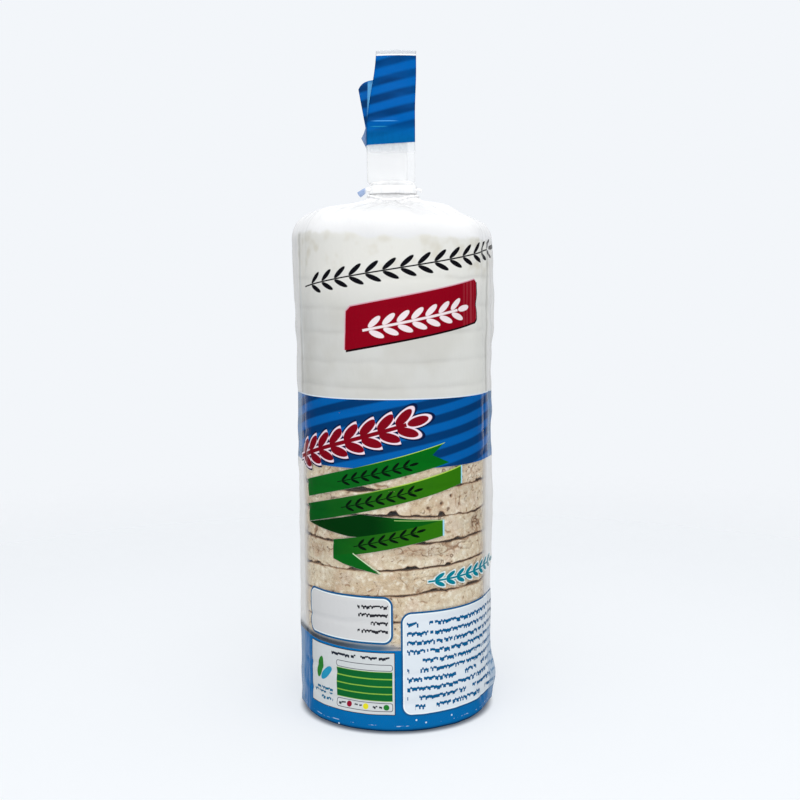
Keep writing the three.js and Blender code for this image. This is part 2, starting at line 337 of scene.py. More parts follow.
def finish_piece(piece, finish, stands_for=()):
    """Gives a piece its finish, sets it on the model's body and hides the solid model's parts that it stands
    for.
    """
    piece.data.materials.append(finish)
    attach(piece, "root")
    if stands_for:
        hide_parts(*stands_for)


# The film


def film_outline():
    """Radius and height up the film: a cubic hollow, a flat ring, a quarter round, a wall, two Bezier
    curves, the neck with its groove, and a rounded end that gathers into the tail."""
    share = np.linspace(0, 1, 15)[:-1]
    ring = np.linspace(FOOT_INNER, FOOT_OUTER, 6)[:-1]
    quarter = np.linspace(0, math.pi / 2, 12)
    wall = np.linspace(EDGE_RADIUS, SHOULDER_START, 262)[1:-1]
    neck = np.linspace(NECK_BOTTOM, NECK_TOP - 1.6, 14)[1:]
    groove = GROOVE_DEPTH * rise(neck, NECK_BOTTOM, NECK_BOTTOM + 1.1)
    end = np.linspace(0, math.pi / 2, 8)[1:]
    parts = [
        (FOOT_INNER * share, HOLLOW_DEPTH * (1 - share**3)),
        (ring, 0 * ring),
        (FOOT_OUTER + EDGE_RADIUS * np.sin(quarter), EDGE_RADIUS * (1 - np.cos(quarter))),
        (np.full(len(wall), WALL), wall),
        bezier(SHOULDER_CURVE, 22).T,
        bezier(DOME_CURVE, 24)[1:].T,
        (NECK_RADIUS - groove, neck),
        ((NECK_RADIUS - GROOVE_DEPTH) * np.cos(end), neck[-1] + 2.2 * np.sin(end)),
    ]
    return np.concatenate(parts, axis=1)


def level_heights(turn, level):
    """The height of a boundary between cakes, round the stack: its level, its measured rises where the
    window shows it, and three noises. Both ends of the stack are flat."""
    if level in (0, len(LEVELS) - 1):
        return np.full_like(turn, LEVELS[level])
    slow = soft_noise(turn, np.full_like(turn, 3.7 * level), 9, 11)
    quick = soft_noise(turn, np.full_like(turn, 5.3 * level), 37, 12)
    fine = soft_noise(turn, np.full_like(turn, 7.9 * level), 109, 13)
    if level in LINE_RISES:
        risen = np.interp(side_of(turn), LINE_PLACES, LINE_RISES[level], period=TURN * WALL)
        return LEVELS[level] + risen + 0.12 * slow + 0.30 * quick + 0.16 * fine
    return LEVELS[level] + 0.55 * slow + 0.42 * quick + 0.16 * fine


def gap_lines(turn, height, reach):
    """The sum of bells of this reach, 1 high, at all the boundaries between cakes."""
    return sum(hump(height, level_heights(turn, level), reach) for level in range(1, len(LEVELS) - 1))


def slack_at(angle, height):
    """How far the film stands off at the side crease nearest to an angle: the model's slack plus small
    puckers."""
    turn = turn_of(angle)
    left = SIDE_SLACK + 1.6 * rise(height, 165.0, 221.0)
    right = SIDE_SLACK + sum(size * hump(height, centre, reach) for centre, reach, size in RIGHT_BULGES)
    puckers = soft_noise(0 * turn + 0.25, height / 8.0, 4, 21) * (angle < 0)
    puckers = puckers + soft_noise(0 * turn + 0.25, height / 6.5, 4, 22) * (angle >= 0)
    steady = rise(height, 4.0, 24.0) * fall(height, 216.0, 200.0)
    return np.where(angle < 0, left, right) + 0.32 * puckers * steady


def wall_folds(angle, radius, height, wall):
    """How far small folds move the film out: long soft waves, a crumpled patch and upright folds on the
    upper right, scuffs low down, and dents in the foot's edge. Each is a noise times a mask."""
    turn, side = turn_of(angle), angle * WALL
    waves = 0.15 * soft_noise(turn, height / 38.0, 17, 32) + 0.07 * soft_noise(turn, height / 9.0, 52, 33)
    waves = waves * wall * fall(height, 226.0, 214.0)
    lean = turn + height / 900.0
    ridges = 1.0 - 2.0 * np.abs(soft_noise(lean, height / 21.0, 34, 34))
    crumple = 0.45 * ridges + 0.22 * soft_noise(lean, height / 5.0, 80, 35)
    crumple = crumple * rise(side, 30.0, 50.0) * fall(side, 112.0, 90.0)
    crumple = crumple * rise(height, 168.0, 190.0) * fall(height, 232.0, 218.0) * wall
    upright = 0.35 * soft_noise(turn + height / 2600.0, height / 46.0, 118, 40)
    upright = upright * rise(side, 44.0, 54.0) * fall(side, 92.0, 72.0)
    upright = upright * rise(height, 120.0, 150.0) * fall(height, 226.0, 216.0) * wall
    scuffs = 0.18 * soft_noise(turn, height / 4.2, 66, 36) + 0.34 * soft_noise(turn, height / 7.0, 29, 42)
    scuffs = scuffs * rise(height, 2.0, 6.0) * fall(height, 34.0, 12.0)
    dents = 0.7 * np.maximum(0.0, soft_noise(turn, 0.0 * height + 4.5, 31, 43)) ** 2
    dents = dents * rise(radius, 37.0, 42.0) * fall(height, 7.0, 2.0)
    return waves + crumple + upright + scuffs - dents


def pleat_lift(angle, radius, height):
    """How far pleats and buckles lift the film: cosines of the angle on the shoulder and in the foot's
    hollow, and noises on the shoulder and along the foot's edge."""
    turn = turn_of(angle)
    pleats = 0.9 * (np.cos(11 * angle) + 0.4 * np.cos(5 * angle + 1.0))
    fine = 0.32 * np.cos(27 * angle + 2.2 * soft_noise(turn, radius / 9.0, 13, 37))
    run_in = fall(radius, WALL, NECK_RADIUS) * fall(height, NECK_BOTTOM, SHOULDER_TOP)
    puff = 1.5 * np.sin(angle) * hump(radius, 37.0, 8.0)
    buckles = 0.35 * soft_noise(turn, radius / 7.0, 21, 38)
    buckles = buckles * rise(radius, 12.0, 20.0) * fall(radius, 45.0, 38.0)
    shoulder = pleats * run_in + fine * run_in**0.5 - puff + buckles
    hollow = 0.5 * np.cos(11 * angle) * fall(radius, FOOT_INNER - 1.0, 8.0) * (radius < FOOT_INNER)
    creases = 0.45 * np.abs(soft_noise(turn, radius / 8.0, 24, 39)) * hump(radius, 42.6, 2.6)
    return np.where(height > SHOULDER_START, shoulder, hollow) + creases * fall(height, 5.0, 1.2)


def drape(angle, radius, height):
    """Moves points of the plain turned tube to where the slack film lies, and returns x, y and z.

    The wall dips at each gap between cakes and runs straight out to the two side creases. A narrow valley
    marks where it leaves the stack. Its folds and pleats are added, and the neck is flattened.
    """
    turn = turn_of(angle)
    wall = rise(radius, 30.0, 42.5) * rise(height, 0.0, EDGE_RADIUS)
    touching = np.arccos(WALL / (WALL + slack_at(angle, height)))
    off_crease = np.abs(np.abs(angle) - math.pi / 2)
    from_crease = np.minimum(touching, off_crease)
    fin = (WALL / np.cos(touching - from_crease) - WALL) * wall
    valley = -0.2 * hump(off_crease, touching + 0.012, 0.014) * wall
    plain = wall * fall(1.0 - from_crease / touching, 0.25, 0.0)
    dips = -0.5 * gap_lines(turn, height, 1.35) * plain * (1.0 - 0.45 * rise(height, 140.0, 165.0))
    dips = dips * (0.62 + 0.38 * soft_noise(turn, height / 16.0, 26, 31))
    gather = 0.28 * np.cos(19 * angle + 1.3) * rise(height, 243.0, 246.0) * rise(radius, 2.0, 9.0)
    reach = radius + fin + valley + dips + gather + wall_folds(angle, radius, height, wall)
    flattened = fall(radius, FLAT_FROM_RADIUS, NECK_RADIUS) * (height > SHOULDER_START)
    depth = 1.0 + (NECK_FLATNESS - 1.0) * flattened
    lifted = height + pleat_lift(angle, radius, height)
    return reach * np.sin(angle), -reach * np.cos(angle) * depth, lifted


def film_tube(columns=270):
    """The film from foot to neck: its outline turned round the axis and draped. The print's place is the
    angle times the wall's radius, and the height up the wall, which runs on as a length over the shoulder.
    The mark "dip" is up to 1 along the gaps between cakes, where the milky print gets painted shade."""
    radius, height = film_outline()
    angle = np.linspace(-math.pi, math.pi, columns + 1)
    grid_angle, grid_radius = np.meshgrid(angle[:-1], radius)
    grid_height = np.broadcast_to(height[:, None], grid_angle.shape)
    points = np.stack(drape(grid_angle, grid_radius, grid_height), axis=-1)
    length = np.cumsum(np.hypot(np.diff(radius, prepend=radius[0]), np.diff(height, prepend=height[0])))
    at_wall = np.argmin(np.abs(height - 20.0) + 1000.0 * (radius < WALL - 1.0))
    length = length - length[at_wall] + height[at_wall]
    place = np.stack(np.meshgrid(angle * WALL, length), axis=-1)
    turn = turn_of(grid_angle)
    on_wall = (grid_radius == WALL) * (0.5 + 0.5 * soft_noise(turn, grid_height / 14.0, 21, 38))
    return surface("film_tube", points, place, marks={"dip": on_wall * gap_lines(turn, grid_height, 0.9)})


# The cakes


def cake_profile(side_rows, face_rows=5, corner_rows=6):
    """Up a cake's outline, four numbers to a row: how far inside the rim it lies, what part of the rim's
    rounding draws it in, and the parts of the rim and of the whole thickness that it lies above the lower
    face."""
    quarter = np.linspace(0, math.pi / 2, corner_rows)
    face = 43.0 * np.linspace(1.0, 0.0, face_rows, endpoint=False) ** 1.6
    up = np.linspace(0, 1, side_rows + 2)[1:-1]
    corner, flat = 0 * quarter, 0 * face
    parts = [
        (face, flat + 1, flat, flat),
        (corner, 1 - np.sin(quarter), 1 - np.cos(quarter), corner),
        (0 * up, 0 * up, 1 - 2 * up, up),
        (corner, 1 - np.cos(quarter), np.sin(quarter) - 1, corner + 1),
        (face[::-1], flat + 1, flat, flat + 1),
    ]
    return np.concatenate(parts, axis=1)[:, :, None]


def rim_gap(turn, ring, line, below):
    """How far a cake's rim stays clear of the boundary of this number, round the stack: a narrow uneven
    gap, chips from noises, and the measured chips. below is 1 for the rim below the boundary, and 0 for the
    one above."""
    if line in (0, len(LEVELS) - 1):
        return np.full_like(turn, 0.1)
    open_gap = 0.03 + 0.62 * np.maximum(0.0, soft_noise(turn, ring + 0.3 * below, 27, 41 + below)) ** 1.3
    chips = 1.5 * rise(soft_noise(turn, ring + 7.0 + below, 47, 43 + below), 0.45, 0.90)
    chips = chips * (0.4 if line in LINE_RISES else 1.0)
    for chip_line, place, reach, deep in CHIPS:
        if chip_line == line and not below:
            chips = chips + 1.5 * deep * rise(hump(side_of(turn), place, reach), 0.2, 0.8)
    small = np.maximum(0.0, soft_noise(turn, ring + 13.0 + below, 150, 46)) ** 2
    ragged = 0.6 + 0.4 * soft_noise(turn, ring + 11.0, 97, 45)
    return open_gap + chips * ragged + 0.40 * small


def cake_grain(turn, height, level):
    """How far a cake's side stands out, how deep its crevices are and how browned it is, at each place.

    The side is pushed in along borders where a bent noise is near 0, along borders between scattered
    grains, in curled cracks, in pits and in one broken spot, and it swells softly between them.
    """
    bent = turn + 0.006 * soft_noise(turn, height / 3.1, 90, 93)
    lifted = height + 0.9 * soft_noise(turn, height / 3.7, 76, 94) + 17.3 * level
    rough = rise(soft_noise(turn, height / 8.0 + 3.1 * level, 19, 91), -0.15, 0.60)
    border = np.clip(1.0 - np.abs(soft_noise(bent, lifted / 5.2, 44, 95)) / 0.11, 0.0, 1.0) ** 1.5 * rough
    side = side_of(turn)
    browned = sum(force * hump(side, s, wide) * hump(height, z, tall) for s, z, wide, tall, force in BROWNED)
    patches = rise(soft_noise(turn, height / 9.0 + 5.7 * level, 16, 98), 0.30, 0.85)
    browned = np.clip(browned + 0.7 * patches * rise(np.abs(side), 62.0, 75.0), 0.0, 1.0)
    rough = np.maximum(rough, browned)
    near, second = grain_distances(bent, lifted / 1.9, 132, 71)
    small_border = (1.0 - rise(second - near, 0.0, 0.34)) * (0.15 + 0.85 * rise(rough, 0.2, 1.0))
    cracks = curled_cracks(bent, lifted / 4.1, 68, 75) * rough
    cracks = np.maximum(cracks, curled_cracks(bent, lifted / 6.2, 45, 74))
    swell = 0.20 * soft_noise(bent, lifted / 4.6, 52, 96) + 0.12 * soft_noise(bent, lifted / 1.9, 128, 97)
    swell = 1.6 * swell * (0.35 + 0.65 * rough) + 0.09 * soft_noise(turn, height / 0.9, 300, 92)
    pits = sum(hump(side, s, reach) * hump(height, z, reach) for s, z, reach in PITS)
    spot_s, spot_z, reach_s, reach_z, depth = BROKEN_SPOT
    broken = hump(side, spot_s, reach_s) * hump(height, spot_z, reach_z)
    relief = swell - 0.60 * border - 0.30 * small_border - 0.45 * cracks - 1.3 * pits
    relief = relief - broken * (depth - 1.1 * near)
    # The crevice value darkens the colour in the recesses: brown crust and painted shade.
    crevice = 0.60 * border + 0.24 * small_border * (0.4 + 1.9 * browned) + 0.62 * cracks + pits
    return relief, crevice + 1.1 * broken * near, browned


def cake_form(level, columns, side_rows):
    """One cake as a closed turned form: flat faces, small rounded rims and an upright side with its grain.

    Its rims follow the wavy boundaries with an uneven gap. The mark "crevice" is 1 in the deepest places and
    along the gaps, where the finish paints brown crust and painted shade, and the mark "browned" is 1 where
    the cake is rough and toasted.
    """
    angle = np.linspace(-math.pi, math.pi, columns, endpoint=False)
    turn = turn_of(angle)
    ring = np.full_like(turn, 1.9 * level)
    low = level_heights(turn, level) + rim_gap(turn, ring, level, 0)
    high = level_heights(turn, level + 1) - rim_gap(turn, ring, level + 1, 1)
    rim = 0.50 + 0.35 * soft_noise(turn, ring + 21.0, 31, 47)
    out = CAKE_RADIUS + 0.22 * soft_noise(turn, ring + 31.0, 6, 48)
    inside, rounding, rims, share = cake_profile(side_rows)
    height = low + rim * rims + (high - low) * share
    flat = np.where(share < 0.5, LEVELS[level] + 0.12, LEVELS[level + 1] - 0.12)
    height = height + (flat - height) * rise(inside, 0.0, 11.0)
    radius = np.maximum(out - rim * rounding - inside, 0.02)

    relief, crevice, browned = cake_grain(turn, height, level)
    on_side = fall(inside, 5.0, 0.0)
    below_edge = np.maximum(EDGE_RADIUS - height, 0.0)
    foot = FOOT_OUTER - 0.45 + np.sqrt(np.clip(EDGE_RADIUS**2 - below_edge**2, 0.0, None))
    radius = np.minimum(np.minimum(radius + relief * on_side, WALL - 0.42), foot)
    radius = radius - 0.8 * fall(height, 41.0, 37.0) * on_side
    radius[0] = radius[-1] = 0.02

    # Painted shade: the crevice mark rises, unevenly, along the boundaries below and above the cake, so the
    # gaps between cakes darken.
    for line, offset in ((low, 41.0), (high, 43.0)):
        shadow = 0.35 + 0.65 * rise(soft_noise(turn, ring + offset, 33, 49), -0.5, 0.4)
        crevice = crevice + hump(height, line, 0.42) * shadow
    rims = hump(height, low, 1.1) + hump(height, high, 1.1)
    crevice = crevice + 0.24 * rims * (0.5 + 0.5 * soft_noise(turn, height / 4.0, 60, 99))
    marks = {"crevice": np.clip(crevice, 0.0, 1.0), "browned": browned}
    return surface(f"cake_{level + 1:02d}", turned(radius, angle, height), marks=marks)


# The tail


def leaf_ring(across_count):
    """Round a thin leaf: 0 to 1 along its front and back to 0 behind, with -1 in front and 1 behind."""
    out = np.linspace(0, 1, across_count)
    share = np.concatenate([out, out[-2:0:-1]])
    face = np.concatenate([-np.ones(across_count), np.ones(across_count - 2)])
    return share, face * np.sqrt(np.clip(1.0 - (2 * share - 1) ** 8, 0.0, 1.0))


def leaf(name, share, face, height, left, right, middle_y, behind):
    """A thin closed leaf: x runs from left to right by share, and y is the middle surface plus half of the
    thickness, which thins from the neck's depth to a few tenths of a millimetre. Its ends are closed. The
    mark "behind" is 1 on the back leaf and 0 on the front one."""
    thickness = ROOT_THICKNESS + (LEAF_THICKNESS - ROOT_THICKNESS) * rise(height, LEAF_ROOT, 259.0)
    x = (left + (right - left) * share) * (1.0 - 0.10 * fall(height, NECK_TOP, LEAF_ROOT))
    y = middle_y + face * thickness / 2
    z = np.broadcast_to(height, x.shape)
    place = np.stack([x, z], axis=-1)
    place = np.concatenate([place, place[:, :1]], axis=1)
    return surface(name, np.stack([x, y, z], axis=-1), place, marks={"behind": np.full(x.shape, behind)})


def leaf_folds(x, height, seed):
    """Gathers that run up from the neck and fade, cosines of x, plus a soft noise over the whole leaf."""
    gathers = 0.34 * np.cos(1.15 * x + 0.8 * np.sin(0.35 * x)) + 0.18 * np.cos(2.7 * x + 1.0)
    gathers = gathers * fall(height, 284.0, 256.0) * rise(height, 252.0, 256.0)
    turn = (x + 40.0) / 80.0
    return gathers + 0.22 * soft_noise(turn, height / 11.0, 9, seed) * rise(height, 256.0, 270.0)


def front_leaf(rows=150, across=52):
    """The front leaf: its middle is bent forward round 280 mm and bows out across, with two short sharp
    creases."""
    share, face = leaf_ring(across)
    height = np.linspace(LEAF_ROOT, LEAF_TOP, rows)[:, None]
    left = -12.0 + 4.6 * rise(height, 276.0, 314.0)
    right = 10.7 + 0.7 * rise(height, 283.0, 305.0)
    x = left + (right - left) * share
    bend = 2.4 * hump(height, 280.0, 16.0)
    bow = np.sin(math.pi * share) * 1.1 * rise(height, 264.0, 290.0)
    upper = 0.5 * np.clip(1 - np.abs(height - 279.9) / 2.2, 0, 1) * fall(x, 5.0, -1.0)
    lower = 0.35 * np.clip(1 - np.abs(height - 275.3 - 0.02 * x) / 1.8, 0, 1) * fall(x, -1.0, -5.0)
    middle = leaf_folds(x, height, 61) - bend - bow - upper - lower
    return leaf("tail_front", share, face, height, left, right, middle, 0.0)


def back_leaf(rows=130, across=44):
    """The back leaf: it leans back and to the left, with a rounded top corner and a small ear low on its
    edge."""
    share, face = leaf_ring(across)
    top = 301.2 - 4.9 * np.exp(-share * 6.4)
    height = LEAF_ROOT + (top - LEAF_ROOT) * np.linspace(0, 1, rows)[:, None]
    lean = 0.18 * np.maximum(0.0, height - 275.0)
    ear = 2.5 * np.maximum(0.0, 1 - np.abs(height - 272.7) / 5.0)
    left, right = -12.2 - lean - ear, 7.0 - lean
    back = 0.5 + 0.16 * np.maximum(0.0, height - 264.0)
    middle = back + 0.8 * leaf_folds(left + (right - left) * share, height, 62)
    return leaf("tail_back", share, face, height, left, right, middle, 1.0)


# The tie


def tie_band(columns=120):
    """The white strip round the neck: a thin upright section carried round an oval, slightly crumpled."""
    angle = np.linspace(-math.pi, math.pi, columns, endpoint=False)
    turn = turn_of(angle)
    corner = np.linspace(0, TURN, 22, endpoint=False)[:, None]
    half = 1.9 + 0.12 * soft_noise(turn, 0 * turn, 17, 71)
    out = 0.34 * np.sign(np.cos(corner)) * np.abs(np.cos(corner)) ** 0.5
    up = np.sign(np.sin(corner)) * np.abs(np.sin(corner)) ** 0.4
    out = out + 0.1 * soft_noise(turn, 0 * turn, 29, 72) * (0.5 + 0.5 * up)
    sag = 0.25 * np.cos(2 * angle) + 0.12 * soft_noise(turn, 0 * turn, 9, 73)
    height = 248.45 + half * up + sag
    points = np.stack([(11.15 + out) * np.sin(angle), -(4.5 + out) * np.cos(angle), height], axis=-1)
    return ring_surface("tie_band", points)


def tie_wrap(columns=150):
    """A second, thinner turn of the strip, which lies on the film just below the neck and sags at the
    front: a small oval section round the draped dome."""
    angle = np.linspace(-math.pi, math.pi, columns, endpoint=False)
    dome_radius, dome_height = bezier(DOME_CURVE, 60).T
    want = 245.0 - 1.5 * np.maximum(0.0, np.cos(angle)) ** 4 - 0.3 * np.cos(3 * angle + 0.6)
    x, y, z = drape(angle, np.interp(want, dome_height, dome_radius), want)
    middle = np.stack([x * 1.02, y * 1.03, z + 0.25], axis=-1)
    ahead = unit(np.roll(middle, -1, axis=0) - np.roll(middle, 1, axis=0))
    up = unit(np.array([0.0, 0.0, 1.0]) - ahead * ahead[:, 2:3])
    corner = np.linspace(0, TURN, 12, endpoint=False)[None, :]
    points = along_path(middle, np.cross(up, ahead), up, 0.42 * np.cos(corner), 0.55 * np.sin(corner))
    return ring_surface("tie_wrap", np.swapaxes(points, 0, 1))


def tie_tab(name, corners, width_from, width_to, twist, rows=40):
    """A loose end of the strip: a flat oval section carried along a cubic Bezier path, turning as it
    goes."""
    t = np.linspace(0, 1, rows)[:, None]
    path = bezier(corners, rows)
    ahead = unit(np.gradient(path, axis=0))
    across = unit(np.cross(ahead, [0.0, -1.0, 0.15]))
    up = np.cross(across, ahead)
    turn = twist * t
    across, up = across * np.cos(turn) + up * np.sin(turn), up * np.cos(turn) - across * np.sin(turn)
    corner = np.linspace(0, TURN, 18, endpoint=False)
    wide = (width_from + (width_to - width_from) * t) * np.cos(corner)
    deep = 0.28 * np.sin(corner) + 0.25 * np.cos(2.0 * wide)
    return weld(surface(name, along_path(path, across, up, wide, deep)))


# Nodes


class Wire:
    """One output of a node. Used in an expression, it adds the Math nodes that work the expression out."""

    def __init__(self, nodes, socket):
        self.nodes = nodes
        self.socket = socket

    def __add__(self, other):
        return self.nodes.math("ADD", self, other)

    __radd__ = __add__

    def __sub__(self, other):
        return self.nodes.math("SUBTRACT", self, other)

    def __rsub__(self, other):
        return self.nodes.math("SUBTRACT", other, self)

    def __mul__(self, other):
        return self.nodes.math("MULTIPLY", self, other)

    __rmul__ = __mul__

    def __truediv__(self, other):
        return self.nodes.math("DIVIDE", self, other)

    def __rtruediv__(self, other):
        return self.nodes.math("DIVIDE", other, self)

    def __neg__(self):
        return self.nodes.math("MULTIPLY", self, -1.0)

    def __abs__(self):
        return self.nodes.math("ABSOLUTE", self)


class Nodes:
    """The nodes of one finish or of the surroundings."""

    def __init__(self, owner):
        owner.use_nodes = True
        self.owner = owner
        self.tree = owner.node_tree
        self.tree.nodes.clear()

    def node(self, kind, settings=None, sockets=None):
        """Adds a node of this type, with its settings first and then its sockets' values or links."""
        made = self.tree.nodes.new(kind)
        for name, value in (settings or {}).items():
            setattr(made, name, value)
        for name, value in (sockets or {}).items():
            if isinstance(value, Wire):
                self.tree.links.new(value.socket, made.inputs[name])
            else:
                made.inputs[name].default_value = value
        return made

    def wire(self, kind, settings=None, sockets=None, output=0):
        """Adds a node and gives one of its outputs."""
        return Wire(self, self.node(kind, settings, sockets).outputs[output])

    def math(self, operation, *values, clamp=False):
        """The result of a Math node."""
        settings = {"operation": operation, "use_clamp": clamp}
        return self.wire("ShaderNodeMath", settings, dict(enumerate(values)))

    def vector(self, operation, *values, output=0):
        """The result of a Vector Math node."""
        return self.wire("ShaderNodeVectorMath", {"operation": operation}, dict(enumerate(values)), output)

    def place_on_object(self):
        """The place in the object's own coordinates, in metres."""
        return self.wire("ShaderNodeTexCoord", output=3)

    def mark(self, name):
        """The value of one of the mesh's marks."""
        return self.wire("ShaderNodeAttribute", {"attribute_name": name}, output=2)

    def part(self, vector, axis):
        """One of a vector's three numbers."""
        return self.wire("ShaderNodeSeparateXYZ", sockets={0: vector}, output=axis)

    def pair(self, first, second):
        """A vector whose first two numbers are these."""
        return self.wire("ShaderNodeCombineXYZ", sockets={0: first, 1: second})

    def paint(self, under, over, cover):
        """The colour under where cover is 0, and over where it is 1."""
        return self.wire("ShaderNodeMix", {"data_type": "RGBA"}, {0: cover, 6: under, 7: over}, 2)

    def coats(self, under, layers):
        """Paints each colour over the last, where its cover is 1."""
        for colour, cover in layers:
            under = self.paint(under, colour, cover)
        return under

    def blend(self, low, high, share):
        """The value low where share is 0, and high where it is 1."""
        return self.wire("ShaderNodeMix", {"data_type": "FLOAT"}, {0: share, 2: low, 3: high}, 0)

    def ramp(self, value, start, end):
        """0 at start, 1 at end and smooth between them, for a start above or below the end."""
        settings = {"interpolation_type": "SMOOTHSTEP"}
        if start < end:
            return self.wire("ShaderNodeMapRange", settings, {0: value, 1: start, 2: end, 3: 0.0, 4: 1.0})
        return self.wire("ShaderNodeMapRange", settings, {0: value, 1: end, 2: start, 3: 1.0, 4: 0.0})

    def largest(self, first, *others):
        """The largest of several values."""
        for other in others:
            first = self.math("MAXIMUM", first, other)
        return first

    def least(self, first, *others):
        """The least of several values."""
        for other in others:
            first = self.math("MINIMUM", first, other)
        return first

    def noise(self, place, scale, detail=2.0, roughness=0.5, stretch=None):
        """Noise from 0 to 1 at a place, with this many features to a unit of length. stretch multiplies the
        place's three numbers first."""
        if stretch:
            place = self.vector("MULTIPLY", place, stretch)
        sockets = {"Vector": place, "Scale": scale, "Detail": detail, "Roughness": roughness}
        return self.wire("ShaderNodeTexNoise", sockets=sockets)

    def random(self, across, up):
        """A random number from 0 to 1 for each pair of whole numbers."""
        place = self.pair(across, up)
        return self.wire("ShaderNodeTexWhiteNoise", {"noise_dimensions": "2D"}, {"Vector": place})

    def scattered(self, place, scale):
        """The distance to the nearest of scattered points, and that point's random number from 0 to 1."""
        cells = self.node("ShaderNodeTexVoronoi", {"feature": "F1"}, {"Vector": place, "Scale": scale})
        chance = self.wire("ShaderNodeSeparateColor", sockets={0: Wire(self, cells.outputs["Color"])})
        return Wire(self, cells.outputs["Distance"]), chance

    def bump(self, height, distance, strength):
        """A normal tilted by a height, whose full range is this many metres."""
        sockets = {"Height": height, "Distance": distance, "Strength": strength}
        return self.wire("ShaderNodeBump", sockets=sockets)

    def principled(self, sockets):
        """Ends a finish with a Principled shader of these sockets, and gives the material."""
        shader = self.wire("ShaderNodeBsdfPrincipled", sockets=sockets)
        self.node("ShaderNodeOutputMaterial", sockets={0: shader})
        return self.owner


class Sheet(Nodes):
    """A printed film's finish: the place on the print, s round and z up, and the colour and opacity that
    its layers build up. Distances outside shapes are in millimetres, and below 0 inside them."""

    def __init__(self, name, colour, opacity):
        super().__init__(bpy.data.materials.new(name))
        flat = self.wire("ShaderNodeUVMap", {"uv_map": "print"})
        self.place = self.vector("MULTIPLY", flat, (PRINT_UNIT, PRINT_UNIT, PRINT_UNIT))
        self.body = self.place_on_object()
        self.s, self.z = self.part(self.place, 0), self.part(self.place, 1)
        self.colour = colour
        self.opacity = opacity

    def covers(self, distance, softness=0.14):
        """1 inside a shape and 0 outside it, from the distance outside its edge."""
        return self.math("MULTIPLY_ADD", distance, -1.0 / softness, 0.5, clamp=True)

    def lay(self, cover, colour, opacity=0.985):
        """Prints a colour, with its opacity, where cover is 1."""
        self.colour = self.paint(self.colour, colour, cover)
        self.opacity = self.blend(self.opacity, opacity, cover)

    def ink(self, distance, *layers):
        """Prints layers over a shape, each as far as it grows beyond the shape, its colour, and where it
        isn't plain its opacity and the softness of its edge."""
        for grown, colour, *rest in layers:
            edge = distance - grown if grown else distance
            self.lay(self.covers(edge, *rest[1:]), shown(colour), *rest[:1])

    def beyond(self, s, z, right, up):
        """How far the place lies beyond a point in a direction."""
        row = self.math("MULTIPLY_ADD", self.s, right, -(s * right + z * up))
        return self.math("MULTIPLY_ADD", self.z, up, row)

    def edge(self, start, end):
        """How far the place lies to the right of the line from start to end."""
        s, z = end[0] - start[0], end[1] - start[1]
        return self.beyond(*start, z / math.hypot(s, z), -s / math.hypot(s, z))

    def convex(self, *corners):
        """Distance outside a convex shape with these corners, anticlockwise: the largest of those outside
        its edges."""
        return self.largest(*(self.edge(*ends) for ends in zip(corners, corners[1:] + corners[:1])))

    def upright(self, s, z, half_s, half_z):
        """Distance outside an upright box with square corners."""
        return self.largest(abs(self.s - s) - half_s, abs(self.z - z) - half_z)

    def rounded(self, left, right, bottom, top, radius):
        """Distance outside a box with rounded corners: the length of what the place exceeds the inner box
        by, less the radius."""
        centre = ((left + right) / 2, (bottom + top) / 2, 0.0)
        inner = ((right - left) / 2 - radius, (top - bottom) / 2 - radius, 0.0)
        offset = self.vector("ABSOLUTE", self.vector("SUBTRACT", self.place, centre))
        outside = self.vector("MAXIMUM", self.vector("SUBTRACT", offset, inner), (0.0, 0.0, 0.0))
        return self.vector("LENGTH", outside, output=1) - radius

    def oval(self, long_way, short_way, half):
        """Distance outside an oval from its own two coordinates: the length of them over the half axes,
        less 1, times the short half axis."""
        both = self.pair(long_way / half[0], short_way / half[1])
        return (self.vector("LENGTH", both, output=1) - 1.0) * half[1]

    def oval_at(self, s, z, half_s, half_z, slope=0.0):
        """Distance outside an oval at a place, turned by a slope."""
        right, up = math.cos(slope), math.sin(slope)
        return self.oval(self.beyond(s, z, right, up), self.beyond(s, z, -up, right), (half_s, half_z))

    def ear(self, start, slope, count, period, grain, tilt, lift, stalk):
        """Distance outside an ear of grain: a straight stalk, a tilted oval on each side of it in every
        cell of its length, and one more oval at its tip."""
        right, up = math.cos(slope), math.sin(slope)
        along = self.beyond(*start, right, up)
        across = abs(self.beyond(*start, -up, right))
        total = count * period
        stem = self.largest(across - stalk, abs(along - total * 0.44) - total * 0.50)
        cell = self.least(self.largest(self.math("FLOOR", along / period), 0.0), float(count - 1))
        ahead = along - (cell + 0.5) * period
        aside = across - lift
        right, up = math.cos(tilt), math.sin(tilt)
        grains = self.oval(ahead * right + aside * up, aside * right - ahead * up, grain)
        tip = self.oval(along - (total + 0.35 * grain[0]), across, grain)
        return self.least(stem, grains, tip)

    def dashes(self, left, right, top, count, spacing, thickness, word, seed):
        """Cover of rows of uneven dashes that stand for small print: random cells in each row are left out,
        and the rest differ in thickness and in height. A row may begin late."""
        row = self.math("ROUND", (top - self.z) / spacing)
        row = self.least(self.largest(row, 0.0), float(count - 1))
        off_row = self.z - (top - row * spacing)
        grain = self.random(self.math("FLOOR", self.s / 0.8), row + seed)
        block = self.random(self.math("FLOOR", self.s / word + row * 0.37), row + (seed + 50.0))
        late = 0.5 * self.ramp(self.random(row, seed + 90.0), 0.72, 1.0)
        lifted = off_row + (grain - 0.5) * thickness * 0.9
        ink = self.covers(abs(lifted) - (0.30 + 0.34 * grain) * thickness, 0.2)
        words = self.math("GREATER_THAN", block, 0.06) * self.math("GREATER_THAN", grain, 0.07)
        begun = self.covers(left + (right - left) * late - self.s)
        return ink * words * begun * self.covers(self.s - right)


